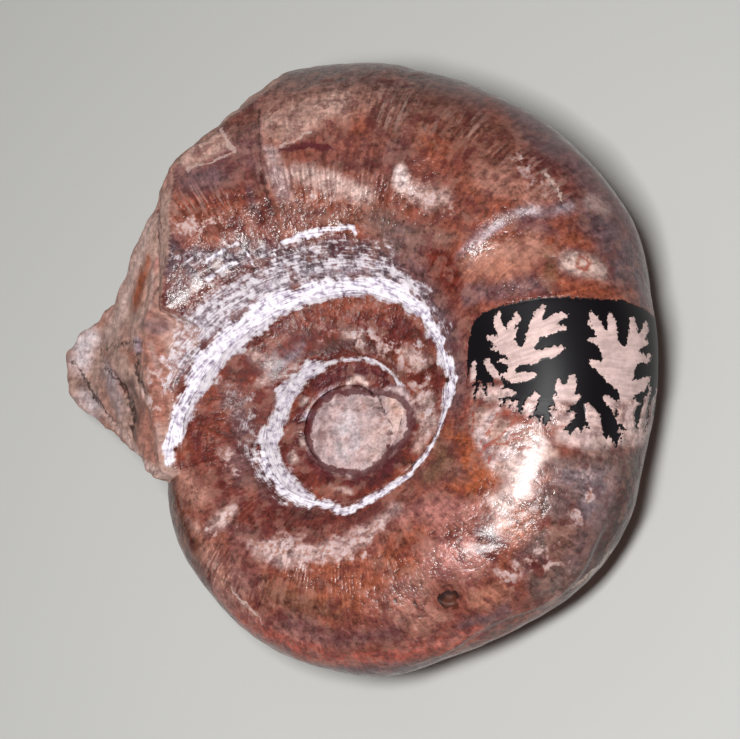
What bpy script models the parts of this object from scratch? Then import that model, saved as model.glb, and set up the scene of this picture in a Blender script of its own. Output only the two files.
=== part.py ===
"""Fossil lytoceras ammonite: one piece of stone, lying on its back flank.

The shell is a tube of nearly round section wound in a flat spiral. Each whorl sits on the one a turn
earlier, and the two meet in a seam on the front and on the back. The tube's newest end is broken off
at the left along a few flat fracture faces, with a block of its stone filling standing out.

Shell frame: x right, y up, z along the coil's axis toward the front. Angles grow counter-clockwise
toward the newest end. The finished stone is tipped onto its rest spots and lies on z = 0.
"""
import math

import bmesh
import bpy
import numpy as np
from mathutils import Matrix, Vector

TAU = 2 * math.pi
METRES_PER_MM = 0.001

# Coil, in millimetres at angle 0
COIL_RADIUS = 35.4
GROWTH_PER_TURN = 2.07
INNER_REACH = 0.553
HALF_WIDTH = 0.465
CENTRE_LIFT = 9.0
LIFT_FADE = 12.0

# The coil is a little out of round: cosine and sine shares of one, two and three waves a turn
OUT_OF_ROUND = ((-0.047, 0.029), (0.025, 0.041), (-0.010, -0.004))

# How far the tube reaches outward, over its inward reach: (angle in degrees, factor)
OUTER_REACH = ((-180, 0.72), (-140, 0.80), (-100, 0.95), (-80, 1.00), (-60, 0.98), (-30, 1.11),
               (0, 0.92), (22, 0.94), (38, 1.03), (60, 1.05), (90, 1.11), (120, 1.14), (150, 1.15))
REACH_LEAD_IN = 60

# Where the tube ends, in degrees, and how finely the surface is laid out: steps along the broken
# stretch of each turn, along the rest of it and over the whole coil, then steps across
LAST_ANGLE = 196.0
BROKEN_STRETCH = 112.0
BROKEN_STEPS = 42
PLAIN_STEPS = 41
COIL_STEPS = 234
FLANK_STEPS = 6
GIRTH_STEPS = 34
EDGE_CROWDING = 0.075
STEPS_PER_TURN = BROKEN_STEPS + PLAIN_STEPS

# White mineral crust that fills the seams, in millimetres
CRUST_HEIGHT = 0.9
CRUST_SPREAD = 2.4
SEAM_CRUST_SHARE = 1.2

# Between these distances from the middle of the stone disc the relief and the crust come in
MIDDLE_FADE = (7.0, 9.5)

# The pale stone disc in the middle of the coil, and the filling in the middle of the back
DISC_CENTRE = (0.6, -2.0)
DISC_RADIUS = 6.6
DISC_TOP = 9.4
DISC_CROWN = 0.7
BACK_TOP = 1.6
FAN_CENTRE = (-1.5, -1.0)

# Low relief in millimetres and degrees: slow swells all over, a ridge across the whorl, an outer
# layer that is left on the upper flank, one that is lost along the venter, and a pit
LUMP_HEIGHT = 0.35
LUMP_LENGTH = 23.0
RIDGE_ANGLE = 50.0
RIDGE_HALF_ANGLE = 4.0
RIDGE_AROUND = (5.0, 120.0)
RIDGE_FADE = 20.0
RIDGE_HEIGHT = 0.7
LEDGE_ANGLES = (82.0, 134.0)
LEDGE_AROUND = (-60.0, 71.0)
LEDGE_HEIGHT = 0.6
EDGE_FADE = 4.0
RIM_ANGLES = (-78.0, -15.0)
RIM_ANGLE_FADE = 12.0
RIM_BACK_FADE = (-80.0, -50.0)
RIM_AROUND = 16.0
RIM_WAVE_AROUND = 5.0
RIM_WAVES_PER_DEGREE = 0.2
RIM_DEPTH = 0.8
PIT_ANGLE = -56.5
PIT_AROUND = 58.0
PIT_RADIUS = 1.7
PIT_EDGE = (0.6, 1.15)
PIT_FINE_PATCH = 2.4
PIT_DEPTH = 1.1

# Fracture faces: a point in the face and the way it looks, in the shell frame
FLANK_BREAK = ((-33.4, 18.7, 20.0), (-0.71, 0.01, 0.71))
SIDE_BREAK = ((-51.1, 25.7, 2.0), (-0.83, 0.50, 0.24))
VENTER_BREAK = ((-20.0, 60.0, 14.0), (-0.51, 0.70, 0.50))
SHELF_BREAK = ((-33.4, 19.1, 20.0), (-0.33, -0.97, 0.20))
BROAD_BREAK = ((-34.0, 18.7, 16.5), (-0.05, -0.11, 0.99))
STEP_BREAK = ((-37.5, 10.0, 15.0), (-0.70, -0.19, 0.69))
UNDER_BREAK = ((-48.6, -0.1, -1.0), (-0.50, -0.85, -0.15))
BLOCK_TOP = ((-60.8, 17.4, -5.4), (-0.41, -0.09, 0.91))
BLOCK_UPPER = ((-57.1, 24.5, -3.0), (-0.46, 0.86, 0.23))
BLOCK_BEVEL = ((-63.2, 20.6, -6.0), (-0.84, 0.48, 0.24))
BLOCK_LEFT = ((-64.5, 15.1, -7.5), (-0.99, -0.03, 0.14))
BLOCK_LOWER = ((-62.5, 9.7, -7.0), (-0.68, -0.73, -0.05))
BLOCK_BACK = ((-57.0, 15.0, -15.0), (-0.45, 0.0, -0.89))

# The stone at the broken end is what lies inside any one of these groups of faces
UPPER_PART = (FLANK_BREAK, SIDE_BREAK, VENTER_BREAK, SHELF_BREAK)
MIDDLE_PART = (FLANK_BREAK, SIDE_BREAK, VENTER_BREAK, BROAD_BREAK, STEP_BREAK, UNDER_BREAK)
BLOCK_PART = (BLOCK_TOP, BLOCK_UPPER, BLOCK_BEVEL, BLOCK_LEFT, BLOCK_LOWER, BLOCK_BACK, UNDER_BREAK)

# Height and length of the swells and of the grain on those faces
BREAK_SWELL = (0.6, 9.0)
BREAK_GRAIN = (0.25, 4.5)
DEPTH_STEPS = 40
SEAM_HALVINGS = 36

# How the stone leans when it lies on its back flank, and how much is worn flat there
LEAN_DEGREES = 4.7
LEAN_TOWARD = -23.5
REST_WEAR = 0.7

STONE_COLOUR = (0.21, 0.085, 0.05, 1.0)
STONE_ROUGHNESS = 0.35
SHARP_EDGE_DEGREES = 40.0


def smooth_step(low, high, value):
    """0 below low, 1 above high, and an even slope between them."""
    share = np.clip((value - low) / (high - low), 0.0, 1.0)
    return share * share * (3 - 2 * share)


def window(low, high, edge, value):
    """1 between low and high, fading to 0 over an edge inside them."""
    return smooth_step(low, low + edge, value) * (1 - smooth_step(high - edge, high, value))


def lumps(point, wave_length, seed):
    """Slow swells between -1 and 1."""
    total = 0.0
    for k in range(4):
        way = np.array([math.sin(seed + 2.1 * k), math.cos(1.7 * seed + 3.3 * k),
                        math.sin(0.6 * seed + 1.3 * k + 0.8)])
        total = total + np.sin(point @ way * TAU / wave_length + seed * (k + 1))
    return total / 4


def growth(turn):
    """Radius of a plain spiral at an angle in radians."""
    return COIL_RADIUS * GROWTH_PER_TURN ** (turn / TAU)


def coil_radius(turn):
    """Distance of the tube's middle from the coil's axis."""
    sway = 1.0
    for wave, (cosine, sine) in enumerate(OUT_OF_ROUND, start=1):
        sway = sway + cosine * np.cos(wave * turn) + sine * np.sin(wave * turn)
    return growth(turn) * sway


def outward_reach(turn):
    """Half height of the tube on its outer side."""
    degrees = np.degrees(turn)
    first_angle, first_factor = OUTER_REACH[0]
    factor = 1.0 + (first_factor - 1.0) * smooth_step(first_angle - REACH_LEAD_IN, first_angle, degrees)
    for (low, start), (high, end) in zip(OUTER_REACH, OUTER_REACH[1:]):
        factor = factor + (end - start) * smooth_step(low, high, degrees)
    return INNER_REACH * growth(turn) * factor


def lift(turn):
    """How far the tube's middle lies toward the front."""
    return CENTRE_LIFT * np.exp(-growth(turn) / LIFT_FADE)


def section(turn, around):
    """Radius and height on the tube; around is 0 on the venter and positive on the front."""
    reach = np.where(np.cos(around) > 0, outward_reach(turn), INNER_REACH * growth(turn))
    radius = coil_radius(turn) + reach * np.cos(around)
    return radius, lift(turn) + HALF_WIDTH * growth(turn) * np.sin(around)


def in_section(turn, radius, height):
    """Where a point stands in a section: across and up, both 1 at the tube's wall."""
    off = radius - coil_radius(turn)
    reach = np.where(off > 0, outward_reach(turn), INNER_REACH * growth(turn))
    return off / reach, (height - lift(turn)) / (HALF_WIDTH * growth(turn))


def tube_point(turn, around):
    """Point on the tube in the shell frame."""
    turn, around = np.broadcast_arrays(turn, around)
    radius, height = section(turn, around)
    return np.stack([radius * np.cos(turn), radius * np.sin(turn), height], axis=-1)


def tube_normal(turn, around):
    """Outward direction of the tube's wall."""
    small = 1e-4
    along = tube_point(turn + small, around) - tube_point(turn - small, around)
    across = tube_point(turn, around + small) - tube_point(turn, around - small)
    normal = np.cross(along, across)
    return normal / np.linalg.norm(normal, axis=-1, keepdims=True)


def seam_angle(turn, side):
    """Where around the tube it meets the whorl a turn earlier; side is 1 in front, -1 behind."""
    low = np.full(np.shape(turn), TAU / 4)
    high = np.full(np.shape(turn), TAU / 2)
    for _ in range(SEAM_HALVINGS):
        guess = (low + high) / 2
        across, up = in_section(turn - TAU, *section(turn, side * guess))
        inside = across ** 2 + up ** 2 < 1
        high = np.where(inside, guess, high)
        low = np.where(inside, low, guess)
    return side * (low + high) / 2


def touch_angle(turn, side):
    """Where around the tube the whorl a turn later meets it."""
    later = turn + TAU
    across, up = in_section(turn, *section(later, seam_angle(later, side)))
    return np.arctan2(up, across)


def crowded(share):
    """Shares from 0 to 1 that stand closer together near both ends."""
    return share - EDGE_CROWDING * np.sin(TAU * share)


def relief(turn, around):
    """Height of the stone over the plain tube, in millimetres, away from the seams."""
    degrees, aside = np.degrees(turn), np.degrees(around)
    height = LUMP_HEIGHT * lumps(tube_point(turn, around), LUMP_LENGTH, 1.3)
    ridge = np.exp(-((degrees - RIDGE_ANGLE) / RIDGE_HALF_ANGLE) ** 2)
    height = height + RIDGE_HEIGHT * ridge * window(*RIDGE_AROUND, RIDGE_FADE, aside)
    ledge = window(*LEDGE_ANGLES, EDGE_FADE, degrees) * window(*LEDGE_AROUND, EDGE_FADE, aside)
    height = height + LEDGE_HEIGHT * ledge
    jagged = RIM_AROUND + RIM_WAVE_AROUND * np.sin(degrees * RIM_WAVES_PER_DEGREE)
    rim = window(*RIM_ANGLES, RIM_ANGLE_FADE, degrees) * smooth_step(*RIM_BACK_FADE, aside)
    return height - RIM_DEPTH * rim * (1 - smooth_step(-EDGE_FADE, EDGE_FADE, aside - jagged))


def from_middle(points):
    """Distance of points from the middle of the stone disc, along the coil's plane."""
    return np.hypot(points[..., 0] - DISC_CENTRE[0], points[..., 1] - DISC_CENTRE[1])


def wall_points(turn, around, seams):
    """Points on the stone's wall, raised by the relief and by the crust along each seam."""
    place, normal = tube_point(turn, around), tube_normal(turn, around)
    height = relief(turn, around)
    for seam in seams:
        gap = np.linalg.norm(place - tube_point(turn, seam), axis=-1)
        height = height + CRUST_HEIGHT * np.exp(-(gap / CRUST_SPREAD) ** 2)
    height = height * smooth_step(*MIDDLE_FADE, from_middle(place))
    return place + normal * height[..., None]


def seam_points(turns, side):
    """Points along a seam, raised out of the valley between the two whorls."""
    later = tube_normal(turns, seam_angle(turns, side))
    earlier = tube_normal(turns - TAU, touch_angle(turns - TAU, side))
    way = later + earlier
    way = way / np.linalg.norm(way, axis=-1, keepdims=True)
    place = tube_point(turns, seam_angle(turns, side))
    height = SEAM_CRUST_SHARE * CRUST_HEIGHT * smooth_step(*MIDDLE_FADE, from_middle(place))
    return place + height[:, None] * way


def margin(points, faces):
    """How far points lie outside the space behind some fracture faces; below 0 is stone."""
    gaps = [(points - np.array(place)) @ (np.array(way) / math.hypot(*way)) for place, way in faces]
    return np.maximum.reduce(gaps)


def broken_depth(outside, inside):
    """How far in the stone begins, as a share of the way from the tube's wall to the whorl beneath."""
    depths = np.linspace(0, 1, DEPTH_STEPS + 1)[:, None]
    points = outside + (inside - outside) * depths[..., None]
    parts = [margin(points, part) for part in (UPPER_PART, MIDDLE_PART, BLOCK_PART)]
    gap = np.minimum.reduce(parts)
    for (height, length), seed in ((BREAK_SWELL, 2.9), (BREAK_GRAIN, 7.1)):
        gap = gap + height * lumps(points, length, seed)
    gap[-1] = np.minimum(gap[-1], -1e-6)
    index = np.argmax(gap < 0, axis=0)
    within = np.take_along_axis(gap, index[None], axis=0)[0]
    before = np.take_along_axis(gap, np.maximum(index - 1, 0)[None], axis=0)[0]
    way = np.where(index > 0, before / np.where(index > 0, before - within, 1), 1)
    return np.where(index > 0, (index - 1 + way) / DEPTH_STEPS, 0)


def whole_girth(turn, shares):
    """A row of points from the front seam round to the back seam, set in where stone is lost."""
    front, back = seam_angle(turn, 1), seam_angle(turn, -1)
    outside = wall_points(turn, front + shares * (back - front), (front, back))
    if math.degrees(turn) < LAST_ANGLE - BROKEN_STRETCH:
        return outside
    inside = covered_row(turn - TAU, shares)
    return outside + (inside - outside) * broken_depth(outside, inside)[:, None]


def covered_row(turn, shares):
    """Points on a whorl where the next one lies on it."""
    front, back = touch_angle(turn, 1), touch_angle(turn, -1)
    return wall_points(turn, front + shares * (back - front), ())


def coil_turns():
    """Angles of the rows, in radians, evenly placed in each of the two stretches of a turn."""
    broken = np.linspace(0, BROKEN_STRETCH, BROKEN_STEPS, endpoint=False)
    plain = np.linspace(BROKEN_STRETCH, 360, PLAIN_STEPS, endpoint=False)
    one_turn = np.concatenate([broken, plain])
    back = np.concatenate([one_turn, one_turn + 360, one_turn + 720])[:COIL_STEPS + 1]
    return np.radians(LAST_ANGLE - back[::-1])


def fill_middle(points, side):
    """Raise points in the middle of the coil to the stone disc in front or the filling behind."""
    away = from_middle(points) / DISC_RADIUS
    if side > 0:
        filled = np.maximum(points[..., 2], DISC_TOP - DISC_CROWN * away ** 2)
    else:
        filled = np.minimum(points[..., 2], BACK_TOP + DISC_CROWN * away ** 2)
    points[..., 2] = np.where(away < 1, filled, points[..., 2])
    return points


class Skin:
    """Points and triangles of the stone's surface, in the shell frame."""

    def __init__(self):
        self.points = []
        self.faces = []

    def add(self, points):
        """Store points and give their numbers."""
        start = len(self.points)
        self.points.extend(np.reshape(points, (-1, 3)))
        return list(range(start, len(self.points)))

    def join(self, row, other, shares=None, other_shares=None):
        """Fill between two rows of points, keeping in step with their shares of the way."""
        if shares is None:
            shares = np.linspace(0, 1, len(row))
        if other_shares is None:
            other_shares = np.linspace(0, 1, len(other))
        i = j = 0
        while i < len(row) - 1 or j < len(other) - 1:
            step_row = j == len(other) - 1
            if i < len(row) - 1 and j < len(other) - 1:
                step_row = shares[i + 1] + shares[i] < other_shares[j + 1] + other_shares[j]
            if step_row:
                self.faces.append((row[i], row[i + 1], other[j]))
                i += 1
            else:
                self.faces.append((row[i], other[j + 1], other[j]))
                j += 1


def flank_columns(skin, turns, seam_row, side):
    """Rows across the bare flank of each whorl that a later one covers in part."""
    shares = crowded(np.linspace(0, 1, FLANK_STEPS + 1))[1:-1]
    columns = []
    for k, turn in enumerate(turns[:len(turns) - STEPS_PER_TURN]):
        seam, touch = seam_angle(turn, side), touch_angle(turn, side)
        around = seam + shares * (touch - seam)
        inner = skin.add(fill_middle(wall_points(turn, around, (seam, touch)), side))
        columns.append([seam_row[k]] + inner + [seam_row[k + STEPS_PER_TURN]])
    for column, after in zip(columns, columns[1:]):
        skin.join(column, after)
    return columns


def last_whorl(skin, turns, seam_rows, start_row, start_shares, covered):
    """The newest whorl all round, back to the row of the whorl beneath where the stone ends."""
    shares = crowded(np.linspace(0, 1, GIRTH_STEPS + 1))
    row, row_shares = start_row, start_shares
    for k in range(len(turns) - STEPS_PER_TURN, len(turns)):
        middle = covered
        if k < len(turns) - 1:
            middle = skin.add(whole_girth(turns[k], shares[1:-1]))
        column = [seam_rows[1][k]] + middle + [seam_rows[-1][k]]
        skin.join(row, column, row_shares, shares)
        row, row_shares = column, shares


def coil_middle(skin, loop, side):
    """Close the innermost whorls with a fan around a point inside them."""
    height = DISC_TOP if side > 0 else BACK_TOP
    middle = skin.add([[*FAN_CENTRE, height]])
    skin.join(loop + loop[:1], middle)


def lay_out_skin():
    """The whole closed surface in the shell frame."""
    skin = Skin()
    turns = coil_turns()
    rows, columns = {}, {}
    for side in (1, -1):
        rows[side] = skin.add(fill_middle(seam_points(turns, side), side))
        columns[side] = flank_columns(skin, turns, rows[side], side)
    start = turns[-1] - TAU
    shares = crowded(np.linspace(0, 1, GIRTH_STEPS + 1))[1:-1]
    covered = skin.add(covered_row(start, shares))
    touch_front, touch_back = touch_angle(start, 1), touch_angle(start, -1)
    seam_front, seam_back = seam_angle(start, 1), seam_angle(start, -1)
    flank = crowded(np.linspace(0, 1, FLANK_STEPS + 1))
    around = np.concatenate([seam_front + flank * (touch_front - seam_front),
                             touch_front + shares * (touch_back - touch_front),
                             (seam_back + flank * (touch_back - seam_back))[::-1]])
    start_row = columns[1][-1] + covered + columns[-1][-1][::-1]
    start_shares = (around - seam_front) / (seam_back - seam_front)
    last_whorl(skin, turns, rows, start_row, start_shares, covered)
    for side in (1, -1):
        loop = rows[side][:STEPS_PER_TURN + 1] + columns[side][0][1:-1][::-1]
        coil_middle(skin, loop, side)
    return np.array(skin.points), skin.faces


def sink_pit(mesh):
    """Press the small round pit into the lower flank."""
    turn, around = math.radians(PIT_ANGLE), math.radians(PIT_AROUND)
    centre, inward = Vector(tube_point(turn, around)), -Vector(tube_normal(turn, around))
    near = [face for face in mesh.faces
            if (face.calc_center_median() - centre).length < PIT_FINE_PATCH * PIT_RADIUS]
    edges = list({edge for face in near for edge in face.edges})
    bmesh.ops.subdivide_edges(mesh, edges=edges, cuts=3, use_grid_fill=True)
    for vert in mesh.verts:
        gap = (vert.co - centre).length / PIT_RADIUS
        vert.co += inward * PIT_DEPTH * float(1 - smooth_step(*PIT_EDGE, gap))


def stand_on_rest_spots(points):
    """Tip the stone onto its back flank, wear the spots flat and centre it over the origin."""
    axis = Vector((-math.sin(math.radians(LEAN_TOWARD)), math.cos(math.radians(LEAN_TOWARD)), 0))
    tip = np.array(Matrix.Rotation(math.radians(LEAN_DEGREES), 3, axis))
    points = points @ tip.T
    points[:, 2] -= points[:, 2].min() + REST_WEAR
    points[:, 2] = np.maximum(points[:, 2], 0)
    middle = (points.min(axis=0) + points.max(axis=0)) / 2
    points[:, :2] -= middle[:2]
    return points * METRES_PER_MM


def stone_material():
    """Varnished red-brown stone."""
    material = bpy.data.materials.new("varnished_stone")
    material.use_nodes = True
    shader = material.node_tree.nodes["Principled BSDF"]
    shader.inputs["Base Color"].default_value = STONE_COLOUR
    shader.inputs["Roughness"].default_value = STONE_ROUGHNESS
    shader.inputs["Metallic"].default_value = 0.0
    return material


def make_ammonite():
    """The stone as one closed body."""
    points, faces = lay_out_skin()
    mesh = bmesh.new()
    verts = [mesh.verts.new(point) for point in points]
    for face in faces:
        mesh.faces.new([verts[k] for k in face])
    bmesh.ops.recalc_face_normals(mesh, faces=mesh.faces[:])
    sink_pit(mesh)
    bmesh.ops.triangulate(mesh, faces=mesh.faces[:])
    placed = stand_on_rest_spots(np.array([vert.co[:] for vert in mesh.verts]))
    for vert, place in zip(mesh.verts, placed):
        vert.co = place
    data = bpy.data.meshes.new("ammonite")
    mesh.to_mesh(data)
    mesh.free()
    data.shade_smooth()
    data.set_sharp_from_angle(angle=math.radians(SHARP_EDGE_DEGREES))
    data.materials.append(stone_material())
    ammonite = bpy.data.objects.new("ammonite", data)
    bpy.context.scene.collection.objects.link(ammonite)


def main():
    for old in list(bpy.data.objects):
        bpy.data.objects.remove(old, do_unlink=True)
    make_ammonite()


main()
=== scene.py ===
import math

import bmesh
import bpy
import numpy as np
from mathutils import Matrix, Vector


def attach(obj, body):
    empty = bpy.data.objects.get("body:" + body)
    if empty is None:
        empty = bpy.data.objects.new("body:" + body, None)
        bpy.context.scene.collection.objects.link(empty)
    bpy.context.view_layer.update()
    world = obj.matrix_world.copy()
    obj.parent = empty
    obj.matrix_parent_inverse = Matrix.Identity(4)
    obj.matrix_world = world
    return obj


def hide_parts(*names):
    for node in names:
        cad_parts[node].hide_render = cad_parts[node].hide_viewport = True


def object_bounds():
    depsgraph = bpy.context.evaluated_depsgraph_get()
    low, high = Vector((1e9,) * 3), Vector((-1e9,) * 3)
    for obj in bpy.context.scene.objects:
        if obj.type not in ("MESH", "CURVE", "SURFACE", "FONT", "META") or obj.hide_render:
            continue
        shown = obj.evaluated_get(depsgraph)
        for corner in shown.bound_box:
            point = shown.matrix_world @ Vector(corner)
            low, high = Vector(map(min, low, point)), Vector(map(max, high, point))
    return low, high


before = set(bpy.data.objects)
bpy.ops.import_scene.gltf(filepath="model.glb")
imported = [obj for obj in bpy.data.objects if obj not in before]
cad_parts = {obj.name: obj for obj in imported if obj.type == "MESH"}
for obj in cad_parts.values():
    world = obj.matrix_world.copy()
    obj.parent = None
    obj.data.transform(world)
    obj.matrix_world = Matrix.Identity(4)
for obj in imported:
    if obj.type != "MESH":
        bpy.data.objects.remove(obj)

CAD_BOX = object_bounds()
TAU = 2 * math.pi
METRES_PER_MM = 0.001

# Coil, at angle 0
COIL_RADIUS = 35.4
GROWTH_PER_TURN = 2.07
INNER_REACH = 0.553
HALF_WIDTH = 0.465
CENTRE_LIFT = 9.0
LIFT_FADE = 12.0
OUT_OF_ROUND = ((-0.047, 0.029), (0.025, 0.041), (-0.010, -0.004))
OUTER_REACH = ((-180, 0.72), (-140, 0.80), (-100, 0.95), (-80, 1.00), (-60, 0.98), (-30, 1.11),
               (0, 0.92), (22, 0.94), (38, 1.03), (60, 1.05), (90, 1.11), (120, 1.14), (150, 1.15))
REACH_LEAD_IN = 60

# How the skin is laid out: first and last angle, fine columns on the newest whorl, plain ones before it
FIRST_ANGLE = -794.0
LAST_ANGLE = 196.0
START = math.radians(LAST_ANGLE - 360)
GROWTH_LINES_PER_TURN = 288
COLUMNS_PER_LINE = 2
FINE_COLUMN = 360 / (GROWTH_LINES_PER_TURN * COLUMNS_PER_LINE)
PLAIN_COLUMN = 1.25
BROKEN_STRETCH = 112.0
PAINTED_STRETCH = (-12.0, 38.0)
FRONT_FLANK_ROWS = 14
BACK_FLANK_ROWS = 6
SEAM_BELT = (0.10, 14)
FRONT_BELT = (0.62, 98)
BACK_BELT = (1.0, 20)
PAINTED_FRONT_BELT = (0.62, 140)

# Crust, middle disc and low relief, as the solid has them
CRUST_HEIGHT = 0.9
CRUST_SPREAD = 2.4
SEAM_CRUST_SHARE = 1.2
NO_SEAM = 99.0
MIDDLE_FADE = (7.0, 9.5)
DISC_CENTRE = (1.1, -2.6)
DISC_RADIUS = 6.5
DISC_TOP = 9.4
DISC_CROWN = 0.7
DISC_EDGE = (0.97, 1.05)
DISC_RINGS = ((0.1, 1), (0.3, 2), (0.5, 4), (0.7, 8), (0.88, 16))
BACK_TOP = 1.6
FAN_CENTRE = (-1.5, -1.0)
LUMP_HEIGHT = 0.35
LUMP_LENGTH = 23.0
LUMP_SEED = 1.3
RIDGE_ANGLE = 50.0
RIDGE_HALF_ANGLE = 4.0
RIDGE_AROUND = (5.0, 120.0)
RIDGE_FADE = 20.0
RIDGE_HEIGHT = 0.7
LEDGE_ANGLES = (82.0, 134.0)
LEDGE_AROUND = (-60.0, 71.0)
LEDGE_HEIGHT = 0.6
EDGE_FADE = 4.0
RIM_ANGLES = (-78.0, -15.0)
RIM_ANGLE_FADE = 12.0
RIM_BACK_FADE = (-80.0, -50.0)
RIM_AROUND = 16.0
RIM_WAVE_AROUND = 5.0
RIM_WAVES_PER_DEGREE = 0.2
RIM_DEPTH = 0.8
PIT_ANGLE = -56.5
PIT_AROUND = 58.0
PIT_RADIUS = 1.7
PIT_EDGE = (0.6, 1.15)
PIT_DEPTH = 1.1

# Fracture faces of the broken end: a point in the face and the way it looks
FLANK_BREAK = ((-33.4, 18.7, 20.0), (-0.71, 0.01, 0.71))
SIDE_BREAK = ((-51.1, 25.7, 2.0), (-0.83, 0.50, 0.24))
VENTER_BREAK = ((-20.0, 60.0, 14.0), (-0.51, 0.70, 0.50))
SHELF_BREAK = ((-33.4, 19.1, 20.0), (-0.33, -0.97, 0.20))
BROAD_BREAK = ((-34.0, 18.7, 16.5), (-0.05, -0.11, 0.99))
STEP_BREAK = ((-37.5, 10.0, 15.0), (-0.70, -0.19, 0.69))
UNDER_BREAK = ((-48.6, -0.1, -1.0), (-0.50, -0.85, -0.15))
BLOCK_TOP = ((-60.8, 17.4, -5.4), (-0.41, -0.09, 0.91))
BLOCK_UPPER = ((-57.1, 24.5, -3.0), (-0.46, 0.86, 0.23))
BLOCK_BEVEL = ((-63.2, 20.6, -6.0), (-0.84, 0.48, 0.24))
BLOCK_LEFT = ((-64.5, 15.1, -7.5), (-0.99, -0.03, 0.14))
BLOCK_LOWER = ((-62.5, 9.7, -7.0), (-0.68, -0.73, -0.05))
BLOCK_BACK = ((-57.0, 15.0, -15.0), (-0.45, 0.0, -0.89))
UPPER_PART = (FLANK_BREAK, SIDE_BREAK, VENTER_BREAK, SHELF_BREAK)
MIDDLE_PART = (FLANK_BREAK, SIDE_BREAK, VENTER_BREAK, BROAD_BREAK, STEP_BREAK, UNDER_BREAK)
BLOCK_PART = (BLOCK_TOP, BLOCK_UPPER, BLOCK_BEVEL, BLOCK_LEFT, BLOCK_LOWER, BLOCK_BACK, UNDER_BREAK)
BREAK_LUMPS = ((0.6, 9.0, 2.9), (0.25, 4.5, 7.1))
BREAK_CRUMB = (0.22, 1.9)
DEPTH_STEPS = 40
SEAM_HALVINGS = 36

# How the stone lies: lean, wear of the spots it rests on, and the solid's move to the origin
LEAN_DEGREES = 4.7
LEAN_TOWARD = -23.5
PLACE = (6.061, -12.851, 18.27)

# Camera, seen from the shell's own axes: degrees off the coil's axis, distance and picture scale
VIEW_TILT = 24.0
VIEW_TURN = -35.0
VIEW_DISTANCE = 450.0
PIXELS_PER_MM = 5.55
PICTURE_SIZE = (740, 739)
AXIS_PIXEL = (365.7, 431.7)
SENSOR_MM = 36.0
CLIP_START = 0.01

# Lights, floor and room: places and sizes in metres, the key light's place aside of and above the camera
KEY_OFFSET = (-0.09, 0.02)
KEY_SIZE = (0.14, 0.06)
KEY_POWER = 2.35
FILL_PLACE = (-0.4, 0.5, 0.6)
FILL_SIZE = (0.6, 0.6)
FILL_POWER = 0.5
LIGHT_AIM = (0, 0, 0.02)
FLOOR_HALF = 1.2
FLOOR_COLOUR = (0.55, 0.55, 0.53, 1)
FLOOR_ROUGHNESS = 0.8
ROOM_COLOUR = (1.0, 0.96, 0.92, 1)
ROOM_STRENGTH = 0.07

# Tones of the stone, as display red, green and blue from 0 to 255
TONES = {
    "red_brown": (124, 68, 57), "deep_red": (103, 42, 33), "rust": (150, 78, 54), "brown": (112, 70, 58),
    "dark_brown": (66, 40, 36), "mauve": (106, 80, 84), "grey_brown": (112, 90, 84),
    "tan": (174, 124, 110),
    "pale": (222, 192, 184), "chalk": (250, 243, 250), "orange": (178, 118, 98), "amber": (156, 80, 48),
    "pink": (178, 116, 108), "rim_red": (160, 76, 62), "cream": (214, 184, 174), "disc": (188, 162, 162),
    "filling": (186, 150, 138), "facet": (168, 114, 100), "lavender": (182, 170, 192),
    "maroon": (88, 34, 38),
    "slate": (88, 72, 80), "speck": (204, 170, 160), "burnt": (88, 44, 30), "olive": (104, 76, 56),
    "saddle": (216, 186, 181), "flake": (216, 192, 192), "ink": (10, 6, 12),
    "umber": (44, 26, 24), "ash": (152, 138, 148), "wine": (80, 26, 30),
}

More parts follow.
